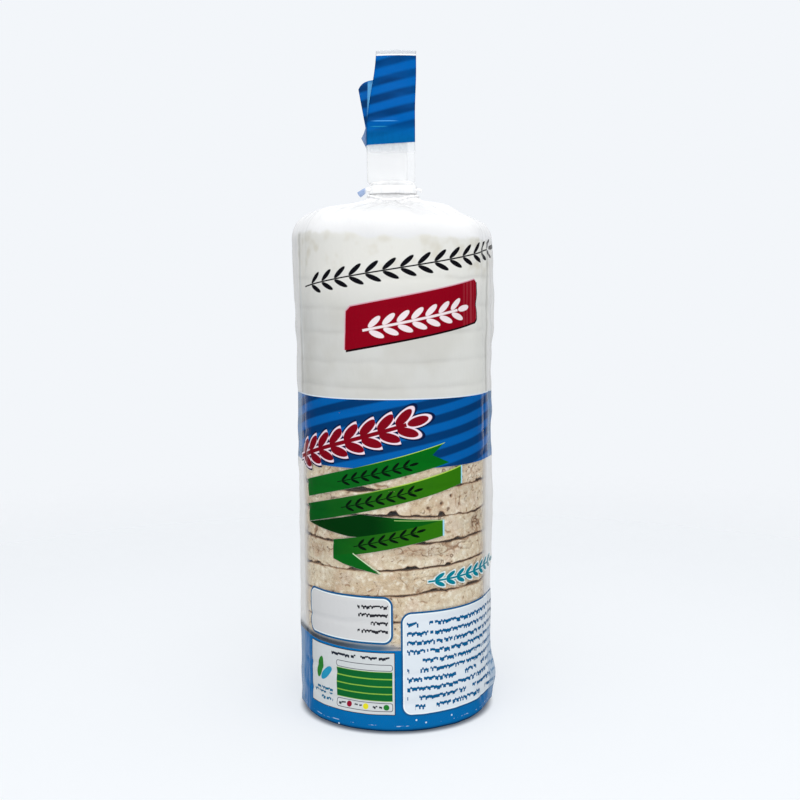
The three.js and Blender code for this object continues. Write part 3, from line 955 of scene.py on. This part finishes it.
def shown(colour):
    """The base colour that shows as this screen colour, from 0 to 255, on the lit front."""
    share = np.array(colour, float) / 255.0
    linear = np.where(share <= 0.04045, share / 12.92, ((share + 0.055) / 1.055) ** 2.4) / FRONT_LIGHT
    return (*np.clip(linear, 0.0, 0.92), 1.0)


# The print on the tube, from the back of its layers to the front


def milky_part(sheet, drift, off_crease):
    """The milky upper part: lighter towards the top and towards the right as painted light, and blotched
    near the top cake's rim. It is darker along each gap as painted shade, has a narrow line of painted shade
    and a strip of painted light beside each side crease, and is white on the dome, painted lighter towards
    the dome's sides."""
    s, z, ramp = sheet.s, sheet.z, sheet.ramp
    cloud = sheet.noise(sheet.body, 38.0, 3.0)
    milky = sheet.coats(shown((206, 206, 202)), [
        (shown((199, 198, 192)), ramp(cloud, 0.42, 0.68)),
        # Painted light: the next two coats make the film lighter towards the top and towards the right.
        (shown((224, 223, 217)), ramp(z, 186.0, 212.0)),
        (shown((234, 234, 228)), ramp(s, 10.0, 52.0) * 0.6),
        (shown((206, 201, 186)), ramp(drift, 0.48, 0.70) * ramp(abs(z - 217.0), 13.0, 4.0) * 0.65),
        # Painted shade along each gap between cakes, then a narrow line of painted shade and a strip of
        # painted light beside each side crease.
        (shown((176, 174, 168)), sheet.mark("dip") * 0.35),
        (shown((150, 148, 144)), ramp(abs(off_crease - 10.6), 2.4, 0.4) * 0.45),
        (shown((238, 238, 236)), ramp(off_crease, 9.4, 6.8) * 0.75),
    ])
    over_rim = z - RIM_HEIGHT - 2.6 * ramp(s, 0.0, -40.0) - 5.0 * (drift - 0.5) - 4.0 * (cloud - 0.5)
    # Painted light: the dome is whiter towards its sides than in its middle.
    dome = sheet.paint((0.82, 0.82, 0.82, 1.0), (0.97, 0.97, 0.97, 1.0), ramp(abs(s), 8.0, 46.0))
    milky = sheet.paint(milky, dome, ramp(over_rim, -1.1, 1.1))
    sheet.lay(sheet.covers(BAND_TOP - z), milky, 0.90)


def blue_parts(sheet):
    """The striped band with a pale line above it, and the base with painted shade along the foot's edge and
    a painted cast shade above it. The stripes climb a whole number of periods on their way round, so they
    join up.
    Gives the distance outside both."""
    s, z = sheet.s, sheet.z
    climb = STRIPES_CLIMBED * STRIPE_PERIOD / (TURN * WALL)
    sway = 0.54 * sheet.math("SINE", s / WALL) + 2.38 * sheet.math("COSINE", s / WALL)
    wave = sheet.math("SINE", (z - climb * s - sway - 141.12) * (TURN / STRIPE_PERIOD) + math.pi / 2)
    band = abs(z - (BAND_BOTTOM + BAND_TOP) / 2) - (BAND_TOP - BAND_BOTTOM) / 2
    striped = sheet.paint(shown(BLUE_DARK), shown(BLUE_LIGHT), sheet.ramp(wave, -0.45, 0.45))
    sheet.lay(sheet.covers(band), striped)
    sheet.ink(abs(z - (BAND_TOP + 0.2)), (0.25, (215, 225, 232), 0.95))
    # Painted shade: the base darkens towards the foot's very edge.
    base = sheet.paint(shown(BLUE_BASE), shown((4, 40, 72)), sheet.ramp(z, 2.0, 0.3))
    sheet.lay(sheet.covers(z - BASE_TOP), base)
    # Painted shadow above the base, darker towards the left.
    cast = sheet.ramp(z, 42.6, 39.6) * sheet.covers(BASE_TOP - z) * (0.30 + 0.66 * sheet.ramp(s, 4.0, -8.0))
    dusk = sheet.paint(shown((60, 96, 124)), shown((44, 58, 72)), sheet.ramp(s, -12.0, -30.0))
    sheet.lay(cast, dusk, 0.85)
    return sheet.least(band, z - BASE_TOP)


def ribbons(sheet, drift):
    """Three ribbons with a fold between the second and the third and a tail below, pale lines along some
    edges and ends, and a small dark sprig on each ribbon."""
    s, ramp, paint = sheet.s, sheet.ramp, sheet.paint
    green = paint(shown(GREEN_DARK), shown(GREEN_FRESH), ramp(s + (drift - 0.5) * 16.0, -42.0, 26.0))
    first_green = paint(shown((10, 92, 26)), shown((2, 96, 20)), ramp(s, -40.0, 20.0))
    fold_green = paint(shown(GREEN_SHADE), shown((6, 84, 16)), ramp(s, -12.0, 9.0))
    above_notch = sheet.beyond(17.5, 127.5, -0.670, 0.742)
    below_notch = sheet.beyond(17.5, 127.5, -0.405, -0.914)
    first = sheet.convex((-50.5, 105.3), (28.0, 124.0), (24.6, 133.0), (-52.6, 113.1))
    first = sheet.largest(first, -sheet.largest(above_notch, below_notch))
    fold = sheet.convex(
        (-50.0, 93.5), (-22.0, 90.2), (10.0, 90.0), (22.9, 92.0), (22.9, 97.4), (-16.0, 100.8)
    )
    second = sheet.convex((-49.9, 93.6), (33.8, 113.2), (33.2, 121.5), (-51.2, 101.8))
    third = sheet.convex((-31.0, 79.6), (22.9, 90.1), (22.6, 97.4), (-31.0, 87.9))
    for ribbon, colour in ((first, first_green), (fold, fold_green), (second, green), (third, green)):
        sheet.lay(sheet.covers(ribbon), colour)
    tail = sheet.convex((-31.0, 80.4), (-30.9, 79.0), (-25.0, 77.2), (-7.2, 73.4), (-19.8, 82.6))
    sheet.ink(tail, (0, (8, 92, 24)))
    top_edges = (first, (-52.6, 113.1), (23.2, 132.7), 0.16), (second, (-51.2, 101.8), (33.2, 121.5), 0.24)
    for ribbon, start, end, half in top_edges:
        line = sheet.largest(abs(sheet.edge(start, end) - 0.15) - half, ribbon - 0.3)
        sheet.lay(sheet.covers(line) * ramp(s, -24.0, 6.0), shown(YELLOW_GREEN), 0.95)
    top_line = sheet.largest(abs(sheet.beyond(0.0, 98.3, 0.0436, 0.999)) - 0.16, abs(s - 11.5) - 12.0)
    sheet.ink(top_line, (0, (150, 190, 110), 0.95))
    for end in ((33.7, 117.3, 0.42, 4.2), (23.0, 93.8, 0.42, 3.7)):
        sheet.ink(sheet.upright(*end), (0, PALE_BLUE, 0.95))
    tail_line = sheet.largest(abs(sheet.beyond(-20.0, 82.5, 0.546, 0.838)) - 0.22, abs(s + 13.4) - 6.6)
    sheet.ink(tail_line, (0, (200, 220, 180), 0.95))
    for start, count in (((-26.0, 115.3), 7), ((-24.0, 103.6), 7), ((-18.0, 86.0), 6)):
        sheet.ink(sheet.ear(start, 0.235, count, 5.0, (2.2, 0.62), 0.55, 1.35, 0.2), (0, (4, 22, 10)))


def red_plate(sheet):
    """The red plate with its shadow, its pale edge, and pale upright streaks of painted reflection over its
    right end.
    """
    shadow = sheet.convex((-22.5, 173.9), (43.8, 185.9), (45.3, 187.6), (45.2, 204.8), (-20.6, 192.3))
    whole = sheet.convex(
        (-23.5, 174.9), (43.4, 186.9), (44.5, 188.4), (44.5, 205.2),
        (43.2, 206.5), (-20.4, 194.9), (-22.7, 192.6),
    )
    inner = sheet.convex(
        (-23.0, 174.8), (43.4, 186.7), (44.5, 188.2), (44.5, 204.9),
        (43.2, 206.0), (-20.1, 194.4), (-22.3, 192.3),
    )
    sheet.ink(shadow, (0, (34, 6, 12)))
    sheet.ink(whole, (0, (205, 150, 165)))
    # Painted reflection: pale upright streaks over the plate's right end.
    streaks = sheet.ramp(sheet.noise(sheet.place, 0.55, stretch=(1.0, 0.02, 1.0)), 0.42, 0.66)
    painted_reflection = sheet.ramp(sheet.s, 34.0, 37.0) * streaks * 0.7
    sheet.lay(sheet.covers(inner), sheet.paint(shown(RED), shown((160, 60, 70)), painted_reflection))


def ears(sheet):
    """The ears of grain: dark red across the band with a pale and a dark line round it, white on the plate,
    a long dark one across the milky part, and a teal one above the wide panel."""
    band_ear = sheet.ear((-57.0, 124.0), 0.275, 8, 8.6, (4.7, 1.9), 0.52, 3.5, 0.75)
    sheet.ink(band_ear, (1.5, (6, 24, 62)), (0.85, (226, 205, 215)), (0.15, DEEP_RED))
    plate_ear = sheet.ear((-11.5, 184.3), 0.187, 7, 6.6, (3.6, 1.35), 0.55, 2.8, 0.55)
    sheet.ink(plate_ear, (0, (225, 212, 214)))
    sheet.ink(sheet.ear((-45.0, 204.2), 0.15, 14, 8.0, (3.9, 1.1), 0.55, 2.5, 0.32), (0, INK_BLACK))
    teal_ear = sheet.ear((18.0, 69.6), 0.03, 8, 6.0, (2.8, 1.0), 0.45, 1.7, 0.45)
    sheet.ink(teal_ear, (0.45, (214, 226, 226), 0.95), (0, TEAL))


def boxes(sheet):
    """The empty box, the table with its green rows and three dots, the wide panel, and the small print on
    them."""
    empty = sheet.rounded(-50.2, -1.3, 41.0, 63.2, 4.5)
    sheet.ink(empty, (0, LINE_BLUE), (-0.95, (226, 236, 242), 0.95), (-1.45, BOX_WHITE, 0.93, 0.4))
    sheet.ink(sheet.rounded(-49.4, -0.5, 7.9, 37.3, 0.4), (0, (24, 30, 44)), (-0.35, (212, 216, 216)))
    for low, high in ((28.6, 31.6), (9.6, 13.6)):
        sheet.ink(abs(sheet.rounded(-29.9, -1.6, low, high, 1.2) + 0.1), (0.15, (60, 60, 70)))
    in_row = abs(sheet.math("FRACT", (sheet.z - 14.4) / 3.45) - 0.5) * 3.45
    striped = sheet.paint(shown((14, 96, 44)), shown((132, 176, 66)), sheet.covers(1.47 - in_row, 0.2))
    sheet.lay(sheet.covers(sheet.upright(-15.75, 21.3, 14.0, 6.9)), striped)
    for place, colour in ((-22.9, (138, 18, 44)), (-14.4, (214, 206, 40)), (-4.6, (34, 116, 44))):
        sheet.ink(sheet.oval_at(place, 11.6, 1.35, 1.35), (0, colour))
    sheet.ink(sheet.oval_at(-41.6, 25.6, 5.6, 2.1, 1.25), (0, (44, 120, 46)))
    sheet.ink(sheet.oval_at(-37.0, 23.6, 5.0, 1.9, 0.75), (0, (36, 140, 176)))
    panel = sheet.rounded(2.2, 78.0, 7.2, 56.0, 5.0)
    sheet.ink(panel, (0, LINE_BLUE), (-0.9, (228, 238, 244), 0.96), (-1.4, PANEL_WHITE, 0.95, 0.4))
    for *layout, colour in SMALL_PRINT:
        sheet.lay(sheet.dashes(*layout), shown(colour))


def wear(sheet, drift):
    """Pale specks and a thin scuffed line along the foot."""
    distance, chance = sheet.scattered(sheet.place, 0.21)
    dots = sheet.covers(distance - 0.085, 0.05) * sheet.math("GREATER_THAN", chance, 0.55)
    sheet.lay(dots * sheet.covers(sheet.z - 8.0, 3.0), shown((205, 225, 238)), 0.95)
    scuffed = sheet.ramp(sheet.noise(sheet.body, 240.0, 4.0, 0.65), 0.50, 0.60)
    line = sheet.covers(abs(sheet.z - (2.0 + 2.0 * drift)) - 0.12, 0.3)
    sheet.lay(line * scuffed, shown((196, 216, 232)), 0.95)


def side_light(sheet, off_crease, off_blue):
    """Along the side creases the film is free of the stack, and more light comes through it, which is
    painted as a paler blue over the blue print. Upright streaks of painted highlight and painted shade there
    stand for its small folds. Gives the share that is free."""
    z, ramp = sheet.z, sheet.ramp
    streaks = sheet.noise(sheet.body, 230.0, stretch=(1.0, 1.0, 0.06))
    beside = ramp(off_crease, 17.0, 9.0) * ramp(z, 228.0, 222.0) * ramp(z, 0.0, 3.0)
    free = ramp(off_crease, 9.6, 6.8) * beside
    pale = 0.10 + 0.25 * ramp(z, 152.0, 154.0)
    sheet.colour = sheet.coats(sheet.colour, [
        ((0.88, 0.95, 0.97, 1.0), ramp(streaks, 0.54, 0.70) * beside * pale),
        (shown((120, 126, 134)), ramp(streaks, 0.44, 0.30) * beside * 0.12),
        (shown((128, 168, 206)), free * sheet.covers(off_blue) * 0.5),
    ])
    return free


# The finishes


def film_finish():
    """The printed film of the tube."""
    sheet = Sheet("printed_film", (0.93, 0.93, 0.925, 1.0), 0.03)
    drift = sheet.noise(sheet.body, 110.0)
    off_crease = abs(abs(sheet.s) - math.pi / 2 * WALL) + 3.0 * (drift - 0.5)
    # Painted reflection: the clear film becomes a white veil towards each side crease.
    sheet.opacity = sheet.blend(0.03, 0.58, sheet.ramp(off_crease, 22.0, 11.0))
    milky_part(sheet, drift, off_crease)
    off_blue = blue_parts(sheet)
    ribbons(sheet, drift)
    red_plate(sheet)
    boxes(sheet)
    ears(sheet)
    wear(sheet, drift)
    free = side_light(sheet, off_crease, off_blue)
    fine = sheet.noise(sheet.body, 420.0, 3.0, 0.55, (1.0, 1.0, 0.35))
    return sheet.principled({
        "Base Color": sheet.colour,
        "Alpha": sheet.blend(sheet.opacity, sheet.opacity * 0.42 + 0.33, free),
        "Roughness": 0.2,
        "IOR": 1.45,
        "Specular IOR Level": 0.13,
        "Normal": sheet.bump(fine, 0.0004, 0.5),
    })


def tail_finish():
    """The film of the tail: a blue striped field between a white root and a narrow white margin, a pale
    streak of painted light on the back leaf beside the front one, and two thin painted highlights along
    creases across the front one."""
    sheet = Sheet("tail_film", (0.94, 0.94, 0.94, 1.0), 0.20)
    s, z, ramp = sheet.s, sheet.z, sheet.ramp
    behind = sheet.mark("behind")
    wave = sheet.math("SINE", (z - 0.25 * s - 296.3) * (TURN / STRIPE_PERIOD) + math.pi / 2)
    uneven = 0.55 + 0.45 * ramp(sheet.noise(sheet.place, 0.10, stretch=(0.4, 1.0, 1.0)), 0.30, 0.60)
    even = (ramp(z, 272.0, 284.0) * 0.6 + 0.4) * uneven
    striped = sheet.coats(shown((0, 88, 164)), [
        (shown((0, 52, 104)), ramp(wave, 0.65, -0.65) * even),
        (shown((2, 94, 148)), ramp(z, 280.0, 272.0) * 0.6),
    ])
    field = sheet.largest(269.9 + 0.055 * s - z, z - 310.6)
    sheet.lay(sheet.covers(field, 0.25), striped, 1.0)
    sheet.lay(sheet.covers(abs(z - 310.9) - 0.3), (0.92, 0.94, 0.95, 1.0), 0.97)
    sheet.lay(ramp(z, 311.2, 311.7), shown((200, 203, 208)), 0.95)
    grey_root = ramp(z, 265.0, 268.2) * ramp(z, 290.0, 280.0) * sheet.covers(-field)
    sheet.lay(grey_root, shown((226, 230, 233)), 0.45)
    sheet.lay(sheet.covers(s + 12.4, 0.6) * ramp(z, 279.0, 277.0) * behind, shown((120, 146, 186)), 0.85)
    # Painted light: a pale streak on the back leaf along the front leaf's left edge.
    rising = z - 280.0
    pale = sheet.covers(abs(s + 11.7 - 0.077 * rising) - 0.2 - 0.055 * rising, 0.5)
    sheet.lay(pale * ramp(rising, -0.5, 3.0) * ramp(z, 301.5, 298.0) * behind, shown((96, 170, 222)), 0.95)
    # Painted highlights along two creases across the front leaf.
    crease_highlights = (280.2, -3.6, 7.2, (84, 164, 222)), (277.7, -6.4, 4.8, (40, 136, 176))
    for height, middle, half, shine in crease_highlights:
        crease = sheet.covers(abs(z - height) - 0.16, 0.3) * ramp(abs(s - middle), half, half * 0.4)
        sheet.lay(crease * (1.0 - behind), shown(shine), 0.97)
    return sheet.principled({
        "Base Color": sheet.colour,
        "Alpha": sheet.opacity,
        "Roughness": 0.3,
        "Specular IOR Level": 0.03,
        "Normal": sheet.bump(sheet.noise(sheet.body, 300.0), 0.0003, 0.5),
    })


def cake_finish():
    """Puffed rice: pale beige with soft mottling, lighter on the raised crumb as painted highlight and
    darker in its hollows with brown blotches and painted shade, thin curled brown lines that are parts of
    rings round scattered points, brown crevices darkened towards black as painted shade, and a few toasted
    patches and specks."""
    nodes = Nodes(bpy.data.materials.new("puffed_rice"))
    ramp, noise = nodes.ramp, nodes.noise
    place = nodes.place_on_object()
    crevice, browned = nodes.mark("crevice"), nodes.mark("browned")
    crumb_relief = noise(place, 430.0, 4.0, 0.62)
    toast = noise(place, 150.0, 3.0, 0.6) + browned * 0.20
    loose = {"Vector": place, "Scale": 260.0, "Detail": 1.0}
    wander = nodes.wire("ShaderNodeTexNoise", sockets=loose, output=1)
    bent = nodes.vector("ADD", place, nodes.vector("MULTIPLY", wander, (0.0034, 0.0034, 0.0034)))
    distance, size = nodes.scattered(bent, 190.0)
    off_ring = abs(distance - 0.26 - 0.30 * size)
    part = ramp(toast, 0.50, 0.62) * ramp(noise(place, 210.0, 1.0), 0.47, 0.56)
    to_speck, chance = nodes.scattered(place, 260.0)
    specks = ramp(to_speck, 0.17, 0.09) * nodes.math("GREATER_THAN", chance, 0.88)
    colour = nodes.coats((0.70, 0.60, 0.435, 1.0), [
        ((0.61, 0.475, 0.315, 1.0), ramp(noise(place, 60.0), 0.35, 0.68)),
        ((0.69, 0.56, 0.435, 1.0), ramp(noise(place, 105.0, 1.0), 0.54, 0.70) * 0.6),
        # Painted highlight on the raised crumb, then brown blotches and painted shade in its hollows: both
        # follow the same noise as the bump.
        ((0.86, 0.80, 0.66, 1.0), ramp(crumb_relief, 0.50, 0.66) * 0.75),
        ((0.42, 0.28, 0.17, 1.0), ramp(crumb_relief + 0.06 * toast, 0.49, 0.31) * 0.8),
        ((0.58, 0.37, 0.23, 1.0), ramp(toast, 0.58, 0.78) * 0.55),
        ((0.40, 0.31, 0.21, 1.0), browned * 0.55),
        ((0.40, 0.27, 0.16, 1.0), ramp(off_ring, 0.11, 0.02) * part * 0.6),
        ((0.13, 0.07, 0.035, 1.0), ramp(off_ring, 0.040, 0.014) * part * 0.75),
        # Brown crust in the crevices, then painted shade that darkens the deepest crevices and the gaps
        # between cakes towards black.
        ((0.35, 0.20, 0.105, 1.0), ramp(crevice, 0.10, 0.55) * 0.85),
        ((0.075, 0.038, 0.018, 1.0), ramp(crevice, 0.50, 0.95) * 0.92),
        ((0.12, 0.065, 0.04, 1.0), specks * 0.85),
    ])
    return nodes.principled({
        "Base Color": colour,
        "Roughness": 0.85,
        "Specular IOR Level": 0.2,
        "Normal": nodes.bump(noise(place, 900.0, 3.0, 0.6) + 1.4 * crumb_relief, 0.0006, 0.8),
    })


def tie_finish():
    """The glossy white strip, blue at its left end, with a fine crinkle."""
    nodes = Nodes(bpy.data.materials.new("tie_strip"))
    place = nodes.place_on_object()
    crinkle = nodes.noise(place, 700.0, stretch=(1.0, 1.0, 0.3))
    colour = nodes.coats((0.95, 0.95, 0.95, 1.0), [
        ((0.88, 0.885, 0.89, 1.0), nodes.ramp(crinkle, 0.45, 0.7)),
        (shown((150, 170, 205)), nodes.ramp(nodes.part(place, 0), -0.0122, -0.0136)),
    ])
    return nodes.principled({
        "Base Color": colour,
        "Roughness": 0.32,
        "Normal": nodes.bump(crinkle, 0.0003, 0.6),
    })


# The room


def floor_disc():
    """A pale round floor whose edge fades into the backdrop. It has a painted contact shadow: it is dark in
    a narrow ring where the foot meets it."""
    angle = np.linspace(-math.pi, math.pi, 64, endpoint=False)
    out = np.linspace(0.0, 1600.0, 9)
    radius = np.concatenate([out, out[::-1]])[:, None]
    floor = surface("floor", turned(radius, angle[None, :], np.repeat([-2.3, -0.3], 9)[:, None]))
    nodes = Nodes(bpy.data.materials.new("pale_floor"))
    distance = nodes.vector("LENGTH", nodes.place_on_object(), output=1)
    # Painted contact shadow: the floor darkens in a narrow ring round the foot.
    outside_contact_shadow = nodes.ramp(distance, 0.0440, 0.0482)
    floor.data.materials.append(nodes.principled({
        "Base Color": nodes.paint((0.10, 0.11, 0.13, 1.0), (0.38, 0.39, 0.40, 1.0), outside_contact_shadow),
        "Roughness": 0.6,
        "Specular IOR Level": 0.1,
        "Emission Color": nodes.paint((0.22, 0.25, 0.30, 1.0), (0.90, 0.93, 0.965, 1.0), outside_contact_shadow),
        "Emission Strength": 0.56,
        "Alpha": nodes.ramp(distance, 0.75, 0.16),
    }))
    floor.visible_glossy = False
    floor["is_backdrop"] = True


def surroundings():
    """A bright backdrop, which reflections show at the sides and behind. The surfaces get softer light from
    it, and more of it from the front."""
    world = bpy.data.worlds.new("studio")
    bpy.context.scene.world = world
    nodes = Nodes(world)
    path = nodes.node("ShaderNodeLightPath")
    seen, glossy = Wire(nodes, path.outputs["Is Camera Ray"]), Wire(nodes, path.outputs["Is Glossy Ray"])
    back = nodes.part(nodes.wire("ShaderNodeTexCoord", output=0), 1)
    reflected = nodes.paint((0.03, 0.03, 0.035, 1.0), BACKDROP, nodes.ramp(back, 0.60, 0.98))
    soft = nodes.paint((0.77, 0.785, 0.805, 1.0), (0.50, 0.51, 0.525, 1.0), nodes.ramp(back, -0.7, 0.2))
    colour = nodes.coats(soft, [(reflected, glossy), (BACKDROP, seen)])
    nodes.node("ShaderNodeOutputWorld", sockets={0: nodes.wire("ShaderNodeBackground", sockets={0: colour})})


def put(name, data, right, up, forward, place):
    """Links an object at a place, whose x axis points right, whose y axis points up and which faces
    forward."""
    made = bpy.data.objects.new(name, data)
    made.matrix_world = Matrix([[right[i], up[i], -forward[i], place[i]] for i in range(3)] + [[0, 0, 0, 1]])
    bpy.context.scene.collection.objects.link(made)
    return made


def area_light(name, place, target, size, power):
    """A square lamp that faces a target."""
    light = bpy.data.lights.new(name, "AREA")
    light.shape = "SQUARE"
    light.size = size
    light.energy = power
    forward = unit(np.array(target) - np.array(place))
    right = unit(np.cross(forward, [0.0, 1.0, 0.0]))
    put(name, light, right, np.cross(right, forward), forward, place)


def photo_camera():
    """The camera in front of the pack: its place, and its turn from pitch, yaw and roll in degrees."""
    focal_pixels, picture_pixels, sensor = 1220.0, 800.0, 36.0
    pitch, yaw, roll = (math.radians(value) for value in (5.69, 0.27, 0.39))
    forward = np.array([math.sin(yaw) * math.cos(pitch), math.cos(yaw) * math.cos(pitch), -math.sin(pitch)])
    level = np.array([math.cos(yaw), -math.sin(yaw), 0.0])
    below = np.cross(forward, level)
    right = math.cos(roll) * level + math.sin(roll) * below
    down = -math.sin(roll) * level + math.cos(roll) * below
    data = bpy.data.cameras.new("camera")
    data.sensor_fit = "HORIZONTAL"
    data.sensor_width = sensor
    data.lens = focal_pixels / picture_pixels * sensor
    data.clip_start = 0.01
    bpy.context.scene.camera = put("camera", data, right, -down, forward, (0.0, -0.585, 0.2067))


# Putting it together

photo_camera()
surroundings()
area_light("overhead", (0.06, -0.15, 1.30), (0.0, 0.0, 0.1), 1.3, 8.0)
area_light("front_high", (0.03, -0.90, 0.95), (0.0, 0.0, 0.2), 0.9, 4.5)
floor_disc()
bpy.context.scene.view_settings.view_transform = "Standard"

puffed_rice = cake_finish()
for number in range(len(CAKE_HEIGHTS)):
    columns, side_rows = (600, 30) if number in SHOWN_CAKES else (240, 12)
    finish_piece(cake_form(number, columns, side_rows), puffed_rice)

printed_film = film_finish()
tail_film = tail_finish()
finish_piece(film_tube(), printed_film, ["film_pack"])
finish_piece(front_leaf(), tail_film, ["film_pack"])
finish_piece(back_leaf(), tail_film, ["film_pack"])

tie_strip = tie_finish()
finish_piece(tie_band(), tie_strip, ["tie"])
finish_piece(tie_wrap(), tie_strip, ["tie"])
finish_piece(tie_tab("tie_end_left", LEFT_END, 0.9, 1.5, 0.5), tie_strip, ["tie"])
finish_piece(tie_tab("tie_end_right", RIGHT_END, 0.6, 0.5, 0.4), tie_strip, ["tie"])


def plain(box):
    """A box's two corners as plain lists."""
    return [[float(value) for value in corner] for corner in box]


{"cad": plain(CAD_BOX), "visual": plain(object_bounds())}
